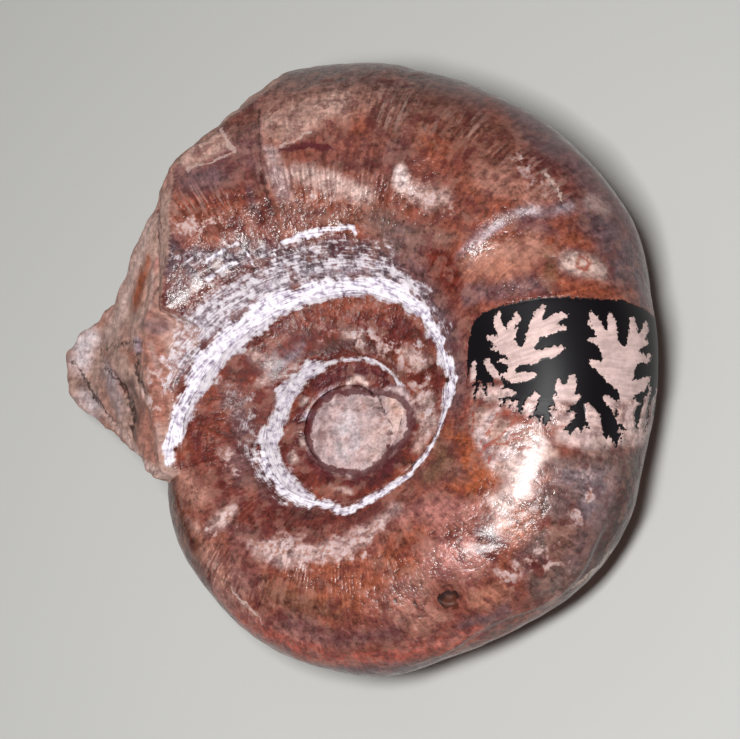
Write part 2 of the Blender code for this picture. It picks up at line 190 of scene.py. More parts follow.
# Paint of the newest whorl, in the order it is laid: tone, strength, softness in pixels, then strokes of
# (x, y, half width) in pixels of the picture. Some strokes paint shade and highlights, as noted at them.
PAINT = (
    ("grey_brown", 0.7, 14, ((290, 85, 22), (360, 80, 22), (450, 92, 18))),
    ("mauve", 0.75, 14, ((450, 88, 14), (520, 110, 22), (580, 165, 24), (625, 225, 24), (645, 280, 18))),
    ("tan", 0.55, 12, ((275, 115, 18), (330, 105, 22), (375, 100, 12))),
    ("brown", 0.7, 14, ((395, 120, 26), (450, 115, 28), (500, 145, 26))),
    ("rust", 0.5, 8, ((425, 135, 9), (450, 150, 10)), ((490, 105, 8), (500, 120, 9))),
    ("red_brown", 0.7, 14, ((290, 165, 20), (350, 175, 26), (420, 180, 22), (470, 200, 18))),
    ("tan", 0.6, 10, ((268, 160, 8), (285, 185, 16), (300, 205, 8)), ((330, 185, 14), (360, 200, 14))),
    ("tan", 0.6, 10, ((480, 178, 12), (520, 185, 16), (550, 192, 10))),
    ("rust", 0.55, 8, ((300, 190, 10), (330, 210, 10), (370, 205, 8)), ((465, 180, 6), (475, 200, 8))),
    ("brown", 0.8, 7, ((262, 212, 6), (300, 212, 8), (350, 218, 8), (390, 215, 8))),
    ("deep_red", 0.6, 8, ((530, 165, 14), (560, 180, 12), (578, 195, 8))),
    ("filling", 0.85, 4, ((186, 155, 13), (222, 138, 9))),
    ("mauve", 0.7, 8, ((186, 185, 10), (215, 180, 12), (240, 165, 8))),
    ("brown", 0.6, 8, ((235, 130, 12), (250, 115, 10))),
    ("rust", 0.5, 8, ((175, 212, 14), (210, 208, 12), (235, 205, 8))),
    ("deep_red", 0.6, 8, ((232, 165, 10), (250, 180, 14), (258, 215, 10))),
    ("slate", 0.5, 4, ((249, 188, 4), (256, 212, 4))),
    ("dark_brown", 0.6, 4, ((257, 115, 2.5), (260, 165, 3), (266, 190, 2.5), (274, 212, 3.5))),
    ("maroon", 0.9, 3, ((278, 147, 1), (305, 143, 4), (333, 149, 1))),
    ("filling", 0.75, 8, ((274, 128, 13), (304, 118, 16), (335, 104, 13))),
    ("flake", 0.6, 6, ((268, 150, 4), (277, 172, 9), (285, 194, 8))),
    ("pale", 0.7, 8, ((296, 172, 7), (330, 185, 11), (362, 192, 9))),
    ("dark_brown", 0.6, 5, ((318, 160, 3), (345, 166, 5), (372, 162, 5), (400, 158, 3))),
    ("slate", 0.85, 8, ((165, 245, 12), (175, 275, 14), (200, 262, 14), (230, 260, 14), (260, 255, 12))),
    ("ash", 0.85, 6, ((168, 385, 5), (180, 350, 12), (200, 326, 15), (226, 306, 16), (256, 290, 14),
                      (292, 276, 12),
                      (330, 270, 9), (368, 270, 8), (405, 280, 7), (430, 303, 5), (444, 332, 4))),
    ("maroon", 0.8, 6, ((168, 292, 10), (182, 302, 12))),
    ("slate", 0.75, 8, ((285, 255, 10), (330, 252, 14), (365, 250, 10), (392, 262, 12))),
    # Mauve along the newest whorl's umbilical wall: partly its dark purple colour and partly painted shade
    # on the wall.
    ("mauve", 0.75, 12, ((400, 240, 18), (415, 270, 14), (440, 320, 12), (455, 360, 10), (455, 400, 10))),
    ("grey_brown", 0.6, 10, ((375, 225, 12), (400, 240, 16), (440, 240, 12))),
    ("pale", 0.95, 4, ((400, 172, 7), (402, 186, 8))),
    ("chalk", 0.25, 3, ((399, 172, 5), (402, 182, 6))),
    ("pale", 0.5, 8, ((412, 190, 8), (440, 200, 8))),
    ("ash", 0.45, 5, ((458, 256, 3), (474, 240, 5), (491, 227, 7), (507, 217, 7), (536, 213, 7),
                      (568, 207, 6))),
    # The chalk streak along the raised ridge's crest is partly its white-grey colour and partly a painted
    # highlight.
    ("chalk", 0.3, 2.5, ((480, 242, 1.5), (492, 229, 3.5), (505, 218, 3.5), (520, 212, 3), (540, 210, 2)),
     ((556, 209, 1), (572, 205, 2))),
    ("maroon", 0.6, 5, ((524, 224, 4), (545, 226, 5), (560, 234, 4))),
    ("mauve", 0.5, 6, ((519, 226, 6), (540, 228, 7), (556, 236, 6))),
    ("orange", 0.85, 9, ((468, 268, 10), (500, 262, 20), (530, 250, 18))),
    ("deep_red", 1.0, 6, ((434, 256, 10), (444, 268, 14), (452, 284, 10))),
    ("tan", 0.5, 8, ((495, 250, 10), (535, 250, 10))),
    ("mauve", 0.75, 6, ((468, 296, 9), (500, 292, 9), (533, 284, 7), (545, 290, 5))),
    ("olive", 0.6, 5, ((548, 252, 5), (550, 285, 5))),
    ("rust", 0.85, 6, ((552, 240, 6), (575, 240, 7), (596, 244, 6)),
     ((560, 290, 6), (600, 290, 7), (630, 293, 5))),
    ("cream", 0.8, 5, ((572, 262, 9), (590, 266, 10), (602, 272, 6)), ((546, 174, 2.5), (556, 190, 3))),
    ("rust", 0.8, 1.6, ((580, 256, 1), (577, 266, 1.2), (586, 270, 1.4), (591, 262, 1.2), (585, 256, 1))),
    ("slate", 0.7, 10, ((595, 222, 14), (615, 250, 14), (620, 280, 8))),
    ("pale", 0.5, 6, ((593, 200, 6), (603, 210, 5))),
    ("maroon", 0.7, 2, ((559, 168, 1.2), (568, 165, 1.2), (574, 172, 1.2), (566, 177, 1.2),
                        (559, 170, 1.2))),
    ("mauve", 0.6, 8, ((640, 250, 12), (650, 300, 8))),
    ("saddle", 0.9, 5, ((476, 392, 5), (500, 394, 10), (540, 405, 20), (600, 400, 32), (640, 390, 22)),
     ((565, 436, 10), (590, 436, 16), (635, 430, 16))),
    ("filling", 0.95, 6, ((474, 410, 5), (488, 425, 15), (510, 437, 17), (536, 445, 13), (552, 452, 6)),
     ((486, 450, 9), (492, 466, 8))),
    ("flake", 0.8, 4, ((487, 421, 6), (497, 410, 5)), ((508, 434, 5), (520, 427, 4)),
     ((478, 432, 6), (486, 448, 6), (491, 463, 5)), ((500, 455, 6), (520, 454, 7), (540, 444, 7))),
    ("rim_red", 0.7, 4, ((503, 413, 4), (516, 417, 6), (529, 420, 4)), ((462, 418, 3), (469, 404, 4))),
    ("grey_brown", 0.85, 9, ((560, 470, 12), (600, 470, 24), (632, 470, 18)),
     ((560, 500, 22), (610, 510, 24))),
    ("grey_brown", 0.85, 10, ((540, 545, 14), (570, 545, 24), (600, 535, 18)),
     ((545, 580, 18), (575, 570, 14))),
    ("brown", 0.5, 8, ((575, 520, 12), (560, 560, 10))),
    # Painted highlight: pale paint where the key light's main highlight falls on the flank.
    ("pale", 0.75, 6, ((520, 470, 16), (535, 452, 12)), ((500, 500, 12), (520, 490, 12))),
    ("amber", 0.85, 5, ((448, 432, 6), (462, 440, 9), (475, 470, 12), (490, 485, 9)),
     ((450, 490, 7), (476, 488, 8))),
    ("olive", 0.7, 6, ((436, 440, 7), (446, 462, 10), (428, 478, 8))),
    ("brown", 0.6, 5, ((450, 474, 8), (462, 478, 8))),
    ("pink", 0.8, 10, ((405, 520, 12), (440, 510, 16), (470, 512, 10)), ((430, 555, 16), (465, 560, 18))),
    ("tan", 0.55, 10, ((420, 585, 14), (400, 610, 14), (430, 620, 12))),
    ("orange", 0.7, 6, ((505, 525, 8), (530, 520, 10), (520, 540, 8)), ((478, 600, 8), (500, 592, 9))),
    ("deep_red", 0.75, 5, ((541, 571, 7), (530, 560, 5))),
    ("slate", 0.6, 6, ((462, 628, 8), (485, 622, 8), (505, 612, 6)), ((480, 530, 5), (500, 545, 6))),
    ("rust", 0.75, 12, ((300, 560, 10), (360, 575, 22), (400, 550, 18), (415, 530, 12))),
    ("amber", 0.5, 9, ((395, 565, 12), (412, 560, 10), (380, 590, 10))),
    ("olive", 0.55, 12, ((275, 590, 14), (310, 600, 16), (340, 605, 12))),
    ("rust", 0.6, 9, ((270, 575, 8), (300, 585, 12), (350, 600, 14))),
    ("tan", 0.8, 8, ((182, 478, 12), (192, 495, 14))),
    ("deep_red", 0.85, 8, ((218, 470, 12), (240, 505, 12), (270, 520, 16), (300, 520, 10), (350, 512, 7),
                           (372, 508, 6))),
    ("dark_brown", 0.55, 6, ((255, 475, 8), (268, 488, 9)), ((295, 515, 5), (320, 512, 5))),
    ("pale", 0.75, 6, ((206, 532, 3), (218, 522, 6), (230, 512, 5)), ((186, 520, 3), (196, 530, 3))),
    ("tan", 0.7, 6, ((262, 550, 8), (290, 556, 10), (310, 552, 10), (338, 552, 9), (352, 540, 7),
                     (380, 524, 6), (392, 511, 5))),
    ("flake", 0.5, 6, ((262, 550, 8), (290, 556, 10), (320, 552, 9), (346, 545, 8), (372, 528, 6),
                       (395, 508, 5))),
    ("deep_red", 0.6, 5, ((240, 520, 8), (265, 530, 8)), ((290, 530, 4), (330, 526, 5), (360, 522, 3))),
    ("deep_red", 0.5, 5, ((392, 545, 5), (410, 548, 6), (402, 562, 5))),
    ("tan", 0.7, 10, ((186, 530, 10), (205, 560, 16), (232, 590, 12))),
    ("pink", 0.7, 10, ((200, 580, 10), (225, 610, 10), (270, 635, 9), (320, 645, 9))),
    ("mauve", 0.5, 9, ((290, 622, 9), (340, 640, 10), (395, 635, 10))),
    ("rim_red", 1.0, 5, ((236, 616, 4), (270, 637, 6), (298, 650, 8), (340, 660, 8), (385, 658, 8),
                         (430, 648, 8), (478, 632, 6))),
    ("pink", 0.6, 3, ((400, 652, 2), (440, 643, 3), (480, 632, 2)), ((405, 645, 1.5), (450, 632, 2))),
    ("brown", 0.7, 5, ((172, 500, 2), (180, 555, 4), (196, 585, 3), (232, 618, 3))),
    # Painted shade: slate along the underside of the lower edge.
    ("slate", 0.6, 5, ((315, 668, 3), (360, 674, 4), (410, 672, 4), (450, 665, 3))),
    ("pale", 0.7, 1.6, ((190, 570, 1), (205, 598, 1.2), (217, 605, 1)),
     ((231, 585, 0.8), (240, 602, 1), (258, 615, 0.8))),
    ("pale", 0.55, 4, ((572, 588, 3), (598, 566, 4), (612, 547, 3)), ((540, 612, 2), (560, 598, 2))),
    ("rim_red", 0.6, 1.4, ((392, 598, 0.8), (402, 594, 1), (410, 600, 1), (402, 610, 1), (392, 606, 0.8)),
     ((418, 594, 0.8), (416, 606, 1), (424, 612, 0.8))),
    # Painted shade: dark brown along the right and lower rims, and burnt and dark brown along the left rim,
    # where the stone turns away from the light.
    ("dark_brown", 0.9, 8, ((664, 430, 9), (638, 500, 22), (602, 565, 15), (560, 612, 8))),
    ("burnt", 0.95, 7, ((168, 485, 8), (182, 540, 16), (198, 590, 13), (226, 626, 8))),
    ("dark_brown", 0.85, 6, ((158, 480, 7), (164, 540, 10), (180, 597, 10), (216, 638, 7),
                             (262, 660, 5))),
    ("mauve", 0.5, 8, ((560, 500, 12), (600, 520, 14), (575, 560, 12))),
    ("ash", 0.4, 10, ((565, 478, 12), (600, 485, 16), (590, 510, 12))),
)

# Paint of the older whorls and of the middle, with painted shade and glints where noted
INNER_PAINT = (
    ("maroon", 0.45, 12, ((290, 330, 12), (330, 315, 14), (375, 312, 12), (410, 330, 10))),
    ("maroon", 0.45, 10, ((200, 430, 10), (222, 400, 12)), ((225, 480, 10), (262, 520, 8))),
    ("rust", 0.45, 9, ((300, 320, 8), (340, 305, 10), (380, 308, 8)), ((210, 430, 10), (235, 400, 8))),
    ("mauve", 0.7, 5, ((232, 395, 5), (240, 420, 8), (246, 440, 7), (244, 460, 5))),
    ("pale", 0.6, 3, ((256, 352, 4), (254, 362, 3)), ((405, 352, 5), (418, 362, 7), (428, 360, 4))),
    ("pale", 0.55, 5, ((418, 415, 7), (425, 400, 7), (430, 425, 7), (418, 450, 4)),
     ((410, 490, 5), (406, 500, 4))),
    ("pale", 0.5, 4, ((345, 335, 4), (360, 336, 4)), ((258, 385, 3), (268, 378, 3)),
     ((228, 455, 3), (232, 470, 3))),
    # Painted shade: dark brown and umber on the older whorls' walls where they fall away toward their
    # seams.
    ("dark_brown", 0.8, 5, ((322, 352, 4), (350, 345, 6), (380, 350, 5), (400, 372, 4))),
    ("umber", 0.6, 3, ((404, 320, 2), (425, 344, 2.5), (436, 375, 2.5), (436, 400, 2))),
    ("dark_brown", 0.5, 5, ((405, 395, 3), (410, 425, 4), (395, 460, 4), (420, 470, 6), (430, 455, 6))),
    ("ash", 0.7, 2.5, ((276, 370, 3), (290, 357, 4), (303, 346, 3))),
    ("wine", 0.95, 4, ((316, 385, 6), (345, 372, 8), (375, 374, 7), (396, 388, 5))),
    ("wine", 0.85, 4, ((303, 400, 5), (300, 430, 6), (310, 460, 6), (335, 478, 7), (370, 478, 7),
                       (395, 462, 6))),
    # Painted glints and highlight: lavender and pale spots on the third whorl where its varnish catches the
    # light.
    ("lavender", 0.7, 2.5, ((322, 396, 3), (332, 390, 3)), ((308, 416, 2), (311, 412, 2))),
    ("pale", 0.85, 2, ((347, 384, 1.5), (358, 378, 3), (366, 384, 1.5)), ((301, 404, 2), (306, 400, 3))),
    ("pale", 0.7, 2, ((291, 454, 3), (294, 460, 3)), ((303, 438, 2), (304, 444, 2)),
     ((330, 486, 2), (350, 492, 3))),
)

# Paint of the broken end, with painted light on the block where noted
BROKEN_PAINT = (
    ("facet", 0.95, 9, ((150, 345, 14), (160, 380, 18), (150, 420, 18), (150, 455, 12))),
    ("pale", 0.55, 7, ((150, 210, 5), (140, 250, 6), (125, 300, 7), (112, 335, 8))),
    ("amber", 0.95, 4, ((148, 256, 1.5), (142, 278, 4), (136, 300, 5), (133, 311, 3))),
    ("pink", 0.7, 2, ((156, 258, 1.6), (152, 290, 2.5), (149, 316, 2.5))),
    ("cream", 0.9, 2, ((151, 200, 3), (156, 190, 2)), ((153, 272, 1), (150, 308, 1.2)),
     ((146, 238, 1.4), (138, 262, 1.2))),
    ("mauve", 0.8, 5, ((143, 325, 4), (153, 328, 6), (163, 328, 5))),
    ("lavender", 0.55, 3, ((136, 340, 3), (138, 350, 3))),
    ("amber", 0.6, 3, ((124, 351, 3), (130, 352, 4), (132, 360, 3))),
    ("rust", 0.4, 8, ((125, 330, 6), (120, 345, 5)), ((160, 350, 6), (165, 420, 8))),
    ("flake", 0.85, 6, ((84, 345, 12), (80, 365, 10), (92, 332, 8)), ((86, 398, 8), (96, 414, 6))),
    ("orange", 0.5, 4, ((97, 326, 4), (102, 322, 3))),
    # Painted light: chalk lightens the block's upper-left faces over their pale colour, as if lit.
    ("chalk", 0.5, 4, ((92, 336, 5), (82, 348, 7), (78, 360, 5)), ((86, 392, 3), (94, 406, 3)),
     ((106, 362, 2), (112, 380, 3))),
    ("grey_brown", 0.5, 5, ((128, 385, 5), (138, 405, 7), (132, 425, 5)), ((88, 385, 4), (94, 392, 4))),
    ("ash", 0.5, 5, ((108, 368, 5), (114, 390, 7), (120, 410, 5))),
    ("pale", 0.45, 3, ((150, 345, 3), (160, 372, 3)), ((158, 425, 3), (160, 450, 4))),
    ("rust", 0.6, 3, ((112, 420, 2), (124, 440, 2.5)), ((104, 350, 2), (112, 372, 2), (124, 392, 2))),
    ("dark_brown", 0.6, 3, ((72, 372, 2), (88, 394, 2.5), (104, 420, 2.5)),
     ((130, 380, 2), (140, 410, 3), (134, 440, 2))),
    ("pale", 0.7, 3, ((100, 410, 2), (124, 436, 2.5), (140, 460, 3), (160, 474, 3)),
     ((140, 388, 2), (148, 402, 2))),
)

# The suture patch: its outline in pixels, and its lobes and saddles as strokes of (x, y, half width) in
# parts of a pixel, counted from the upper or the lower corner that goes with them
SUTURE_OUTLINE = ((466, 388), (466.5, 365), (468, 342), (472.5, 323), (483, 312.5), (502, 305.5),
                  (518, 302),
                  (541, 297.5), (569, 296.8), (592, 298.7), (623, 300), (643, 308), (654, 316),
                  (662, 326),
                  (666, 350), (664, 392), (640, 398), (612, 402), (585, 402), (560, 402), (535, 402),
                  (520, 398),
                  (505, 385), (492, 382), (478, 384))
UPPER_CORNER = (458, 288)
LOWER_CORNER = (458, 360)
PARTS_OF_A_PIXEL = 7.467
UPPER_SADDLES = (
    ((988, 180, 14), (1020, 240, 32), (1060, 320, 40), (1110, 400, 66), (1170, 500, 90),
     (1200, 620, 120)),
    ((972, 265, 8), (1010, 285, 20)), ((975, 383, 12), (1040, 400, 25), (1110, 440, 50)),
    ((1132, 190, 14), (1145, 250, 28), (1155, 320, 34), (1150, 400, 46), (1180, 480, 50)),
    ((1000, 555, 22), (1100, 610, 50), (1200, 660, 90)),
    ((1300, 232, 18), (1310, 300, 28), (1310, 380, 40), (1300, 470, 50), (1270, 560, 70)),
    ((1405, 262, 14), (1395, 320, 28), (1365, 370, 34), (1320, 430, 45)),
    ((1402, 410, 18), (1360, 420, 30)),
    ((1425, 505, 16), (1415, 545, 18), (1370, 520, 32), (1310, 520, 50)),
    ((1430, 665, 10), (1385, 715, 25), (1320, 740, 50)),
    ((305, 185, 14), (290, 245, 26), (315, 305, 34), (350, 360, 50), (390, 430, 50), (440, 500, 55)),
    ((432, 188, 14), (440, 230, 28), (400, 270, 26), (385, 310, 30)), ((425, 315, 14), (395, 350, 40)),
    ((222, 372, 16), (270, 385, 28), (340, 400, 40)), ((248, 452, 10), (320, 460, 28), (400, 480, 42),
                                                       (450, 510, 50)),
    ((490, 520, 50), (530, 440, 42), (560, 360, 56), (600, 300, 56)),
    ((640, 140, 16), (605, 190, 32), (585, 250, 35), (570, 300, 45)),
    ((600, 320, 50), (680, 270, 46), (740, 220, 32), (815, 205, 12)), ((770, 192, 14), (735, 215, 26)),
    ((650, 320, 40), (700, 308, 30), (750, 300, 24), (790, 300, 18)),
    ((540, 520, 50), (630, 495, 32), (700, 480, 42), (775, 452, 22)), ((675, 510, 16), (690, 480, 20)),
    ((500, 530, 40), (575, 552, 18)), ((312, 540, 13), (370, 556, 24), (430, 545, 40)),
    ((430, 560, 30), (400, 600, 26), (400, 660, 32)), ((345, 650, 20), (410, 675, 36), (480, 665, 38),
                                                       (560, 650, 25)),
    ((215, 550, 20), (245, 600, 30), (285, 660, 26), (310, 715, 28)),
    ((125, 548, 12), (112, 620, 26), (95, 700, 26)),
)
LOWER_SADDLES = (
    ((1200, 80, 110), (1240, 160, 64), (1250, 250, 48), (1262, 340, 54), (1268, 420, 50), (1290, 520, 34),
     (1300, 620, 60)),
    ((1425, 135, 14), (1370, 185, 45), (1290, 215, 60)), ((1345, 325, 14), (1290, 340, 50)),
    ((1105, 285, 24), (1150, 325, 28), (1215, 330, 14)), ((1150, 330, 24), (1166, 378, 14)),
    ((990, 390, 30), (1010, 440, 46), (1040, 500, 38), (1060, 580, 26), (1060, 660, 60)),
    ((852, 130, 24), (850, 180, 38), (830, 230, 46), (800, 300, 48), (780, 370, 24), (745, 440, 40),
     (735, 540, 60)),
    ((750, 150, 14), (755, 200, 32), (790, 250, 42)), ((900, 272, 14), (850, 300, 40)),
    ((715, 272, 12), (760, 310, 30)),
    ((855, 410, 26), (800, 430, 28), (750, 450, 40)), ((692, 355, 12), (715, 400, 24), (735, 450, 40)),
    ((580, 265, 28), (555, 310, 42), (530, 360, 28), (525, 392, 20)), ((440, 308, 12), (410, 340, 18)),
    ((625, 425, 10), (620, 465, 12)), ((892, 515, 11), (895, 565, 16)),
    ((1130, 580, 11), (1140, 650, 20)),
    ((95, 160, 26), (78, 215, 18)), ((165, 165, 9), (172, 260, 15)), ((228, 172, 8), (262, 240, 12)),
    ((300, 165, 26), (285, 230, 34), (255, 280, 40)), ((290, 250, 28), (360, 250, 26), (415, 245, 18)),
    ((1440, 200, 6), (1405, 370, 8), (1372, 520, 9)), ((1490, 210, 6), (1462, 360, 7), (1432, 480, 8)),
)
LOWER_LOBES = (
    ((150, 60, 25), (150, 180, 16), (122, 250, 12), (124, 300, 5)),
    ((190, 170, 18), (200, 230, 14), (220, 290, 5)),
    ((170, 100, 30), (230, 150, 14), (268, 195, 12), (285, 215, 4)),
    ((560, 200, 90), (470, 250, 50), (460, 320, 34), (464, 405, 7)),
    ((470, 215, 30), (380, 195, 16), (325, 205, 8)),
    ((430, 285, 24), (360, 285, 15), (305, 295, 8)), ((350, 300, 14), (318, 336, 7)),
    ((400, 330, 10), (375, 352, 6)),
    ((650, 250, 80), (640, 340, 64), (650, 420, 44), (645, 492, 8)), ((580, 400, 24), (535, 425, 6)),
    ((600, 430, 12), (602, 462, 6)), ((690, 440, 16), (716, 460, 6)), ((690, 320, 16), (764, 404, 4)),
    ((900, 250, 70), (890, 340, 55), (900, 420, 60), (890, 480, 50)), ((850, 500, 22), (785, 518, 10)),
    ((840, 520, 16), (828, 555, 7)), ((915, 515, 16), (922, 548, 7)), ((960, 480, 20), (984, 518, 6)),
    ((880, 350, 20), (806, 388, 4)), ((1000, 200, 110), (1060, 300, 70), (1110, 400, 46),
                                      (1130, 480, 66)),
    ((1130, 480, 66), (1168, 560, 34), (1186, 655, 5)), ((1110, 540, 28), (1104, 606, 6)),
    ((1205, 550, 12), (1218, 602, 5)), ((1210, 490, 20), (1264, 546, 6)),
    ((1185, 400, 18), (1186, 352, 5)),
    ((1450, 60, 40), (1410, 215, 26), (1365, 290, 30), (1345, 390, 26), (1336, 512, 7)),
    ((1360, 270, 20), (1300, 285, 8)),
    ((1370, 100, 20), (1312, 118, 8)), ((1470, 150, 30), (1440, 320, 10), (1400, 540, 5)),
    ((1500, 150, 22), (1470, 420, 7)),
)

# The white crust in pixels: the two wide bands with their outer crumbs, and the thin rims
CRUST_BANDS = (
    ((168, 462, 3), (173, 440, 6), (183, 408, 9), (207, 364, 11.5), (238, 332, 12.5), (279, 306, 10),
     (322, 289, 9.5),
     (369, 286, 9.5), (403, 294, 7.5), (424, 314, 5.5), (440, 342, 4.5), (449.5, 376, 3),
     (447, 402, 1.6)),
    ((325, 365, 1.5), (302, 375, 6.5), (285, 395, 7.5), (274, 419, 8), (268.5, 442, 8.5), (273.5, 467, 9),
     (288, 487, 8.5), (310, 501, 5.5), (338, 506.5, 3), (352, 507, 2)),
)
CRUST_RIMS = (
    ((318, 365, 1), (342, 359, 1.6), (365, 358, 1.4), (380, 364, 1.4), (393, 374.5, 1.4), (403, 389, 1.2),
     (409, 405, 1.2), (407, 421, 0.8)),
    ((352, 507, 2.4), (368, 500, 2.8), (386, 490, 2.8), (406, 476, 2.6), (421, 459, 2.2), (432, 444, 1.8),
     (440, 426, 1.4), (446, 404, 1.2)),
    # The third rim runs along a raised ridge; its white is partly crust and partly a painted highlight.
    ((283, 243, 2.4), (297, 236, 3), (323, 230, 3), (352, 226.5, 2), (355.5, 236, 1)),
    ((273.5, 248, 0.7), (275.5, 266, 0.9)), ((246, 252, 0.8), (253, 266, 1.2)),
    ((198, 264, 0.8), (220, 252, 1.4), (238, 242, 0.8)), ((206, 279, 0.8), (234, 262, 1.3)),
)
CRUST_CRUMBS = (
    ((168, 385, 5), (178, 352, 12), (196, 326, 18), (220, 306, 20), (250, 288, 18), (286, 272, 14),
     (325, 266, 10),
     (365, 265, 9), (402, 276, 8), (428, 299, 6), (443, 328, 4)),
    ((252, 400, 5), (250, 440, 6), (262, 475, 6), (282, 497, 5)),
)
FAINT_CRUMBS = (
    ((168, 258, 5), (205, 262, 8), (240, 260, 9), (290, 255, 10), (340, 248, 9), (385, 252, 9)),
    ((225, 385, 6), (238, 420, 8), (244, 455, 6)), ((414, 345, 5), (428, 380, 5), (432, 420, 5)),
    ((340, 330, 4), (375, 334, 4), (400, 350, 4)),
)

# Where the cream flecks lie, as strokes in pixels
CREAM_FLECKS = (
    ((262, 548, 12), (300, 554, 16), (350, 550, 14), (385, 520, 8)), ((210, 530, 8), (235, 508, 6)),
    ((410, 190, 10), (445, 205, 12)), ((290, 185, 8), (330, 200, 8)), ((180, 222, 10), (215, 222, 8)),
    ((330, 336, 8), (370, 338, 8), (418, 362, 10), (425, 430, 8)), ((228, 455, 6), (235, 475, 5)),
    ((500, 580, 8), (540, 555, 8), (565, 575, 6)), ((590, 480, 12), (580, 515, 8)),
    ((256, 356, 6), (262, 380, 6)),
    ((520, 160, 8), (545, 185, 8)), ((150, 400, 12), (160, 360, 8)),
)

# The pale stone disc in the middle, in pixels, and its paint
DISC_OUTLINE = ((311.5, 440), (316.5, 432), (318, 417), (328, 403), (341, 396), (355, 393), (371, 395),
                (383, 396),
                (390, 392), (400, 392), (406, 401), (407, 412), (404, 427), (397, 441), (386, 451),
                (374, 462),
                (362, 469), (350, 471.5), (333, 467), (321, 458), (313, 447), (318, 442))
DISC_PAINT = (
    ("filling", 0.5, 8, ((380, 440, 10), (375, 455, 8))), ("cream", 0.9, 4,
                                                           ((394, 400, 7), (397, 415, 7), (394, 428, 4))),
    ("orange", 0.45, 4, ((392, 402, 4), (398, 412, 4))), ("grey_brown", 0.75, 3,
                                                          ((372, 398, 3), (378, 408, 3), (381, 420, 2))),
    ("chalk", 0.3, 4, ((345, 422, 9), (350, 445, 8)), ((338, 450, 5), (352, 452, 5))),
    ("dark_brown", 0.8, 1.2, ((378, 396, 0.8), (382, 407, 0.9), (387, 422, 0.9), (390, 431, 0.7))),
    ("maroon", 0.85, 1.2, ((388, 434, 1), (393, 433, 1))), ("slate", 0.7, 1.2, ((362, 422, 1.1),),
                                                            ((327, 422, 0.9),)),
    ("slate", 0.7, 1.2, ((330, 446, 1),), ((368, 445, 1),)),
    ("slate", 0.4, 1.2, ((350, 395, 0.6), (360, 400, 0.6), (358, 410, 0.6))),
)

# Fine steps, cracks and grooves: rise in millimetres, softness in pixels, then strokes like the paint's
RELIEF_STROKES = (
    (-1.0, 3, ((70, 362, 1), (86, 381, 1.5), (102, 409, 1.5), (114, 423, 1))),
    (-1.0, 3, ((98, 342, 1), (101, 362, 1.5), (121, 384, 2), (133, 413, 2), (130, 438, 1))),
    (0.5, 5, ((151, 327, 7), (158, 330, 6)), ((128, 356, 4), (132, 352, 3))),
    (-0.7, 2, ((158, 196, 1), (157, 250, 1.2), (159, 314, 1))),
    (-0.5, 3, ((150, 262, 1), (143, 312, 1)), ((132, 392, 2), (143, 412, 1)),
     ((140, 340, 1), (137, 372, 1.5), (146, 395, 1))),
    (0.4, 3, ((110, 392, 2), (122, 412, 2)), ((150, 360, 3), (158, 400, 3))),
    (-0.35, 1.5, ((257, 115, 1), (260, 165, 1.2), (266, 190, 1), (274, 212, 2))),
    (-0.5, 1.5, ((264, 576, 1.4), (261, 586, 1.6), (259, 600, 0.8))),
    (-0.3, 2, ((278, 147, 1), (305, 143, 3.5), (333, 149, 1))),
    (0.25, 1.5, ((283, 243, 2.4), (297, 236, 3), (323, 230, 3), (352, 226.5, 2), (355.5, 236, 1))),
    (-0.3, 1.6, ((378, 396, 0.8), (382, 407, 0.9), (387, 422, 0.9), (390, 431, 0.7))),
    (-0.3, 1.5, ((295, 283, 0.8), (323, 277.5, 0.8), (364, 274.5, 0.8))),
)

# Where the growth lines show and where the varnish glitters, as strokes in pixels
LINED_AREAS = (
    ((185, 200, 14), (245, 190, 20)), ((262, 175, 14), (330, 190, 20), (400, 190, 14)),
    ((300, 110, 14), (380, 105, 16), (470, 125, 16)), ((300, 570, 10), (350, 575, 12), (385, 570, 8)),
    ((215, 560, 14), (250, 610, 10)), ((190, 190, 12), (250, 180, 14), (262, 200, 10)),
    ((222, 380, 8), (243, 425, 10)), ((275, 368, 6), (303, 346, 5)), ((500, 140, 14), (560, 190, 12)),
)
# The glitter areas roughen the bump and gather pale specks that partly paint glints.
GLITTER_AREAS = (
    ((165, 240, 12), (210, 262, 16), (270, 255, 12)), ((180, 330, 14), (230, 295, 14), (300, 276, 8)),
    ((232, 392, 8), (246, 440, 10)), ((275, 370, 6), (304, 346, 5)), ((200, 210, 22), (245, 205, 14)),
    ((270, 205, 6), (300, 200, 10), (360, 205, 10)), ((485, 225, 10), (530, 212, 10), (570, 207, 8)),
    ((462, 530, 8), (480, 545, 10)), ((500, 505, 10), (525, 510, 8)), ((386, 560, 6), (425, 562, 8)),
    ((320, 640, 8), (385, 638, 8), (460, 628, 8)), ((430, 170, 18), (400, 190, 14)),
    ((205, 440, 10), (230, 470, 10)),
    ((330, 430, 14), (365, 415, 14), (350, 450, 12)), ((540, 560, 14), (580, 540, 14)),
)

# Where the grain is calm, as strokes in pixels
CALM_AREAS = (
    ((488, 512, 14), (515, 480, 22), (545, 450, 22), (600, 430, 18)), ((480, 268, 16), (530, 255, 14)),
    ((440, 95, 16), (520, 115, 16), (580, 160, 16), (620, 220, 14)), ((600, 500, 14), (590, 560, 10)),
    ((447, 598, 14), (449, 599, 14)),
)

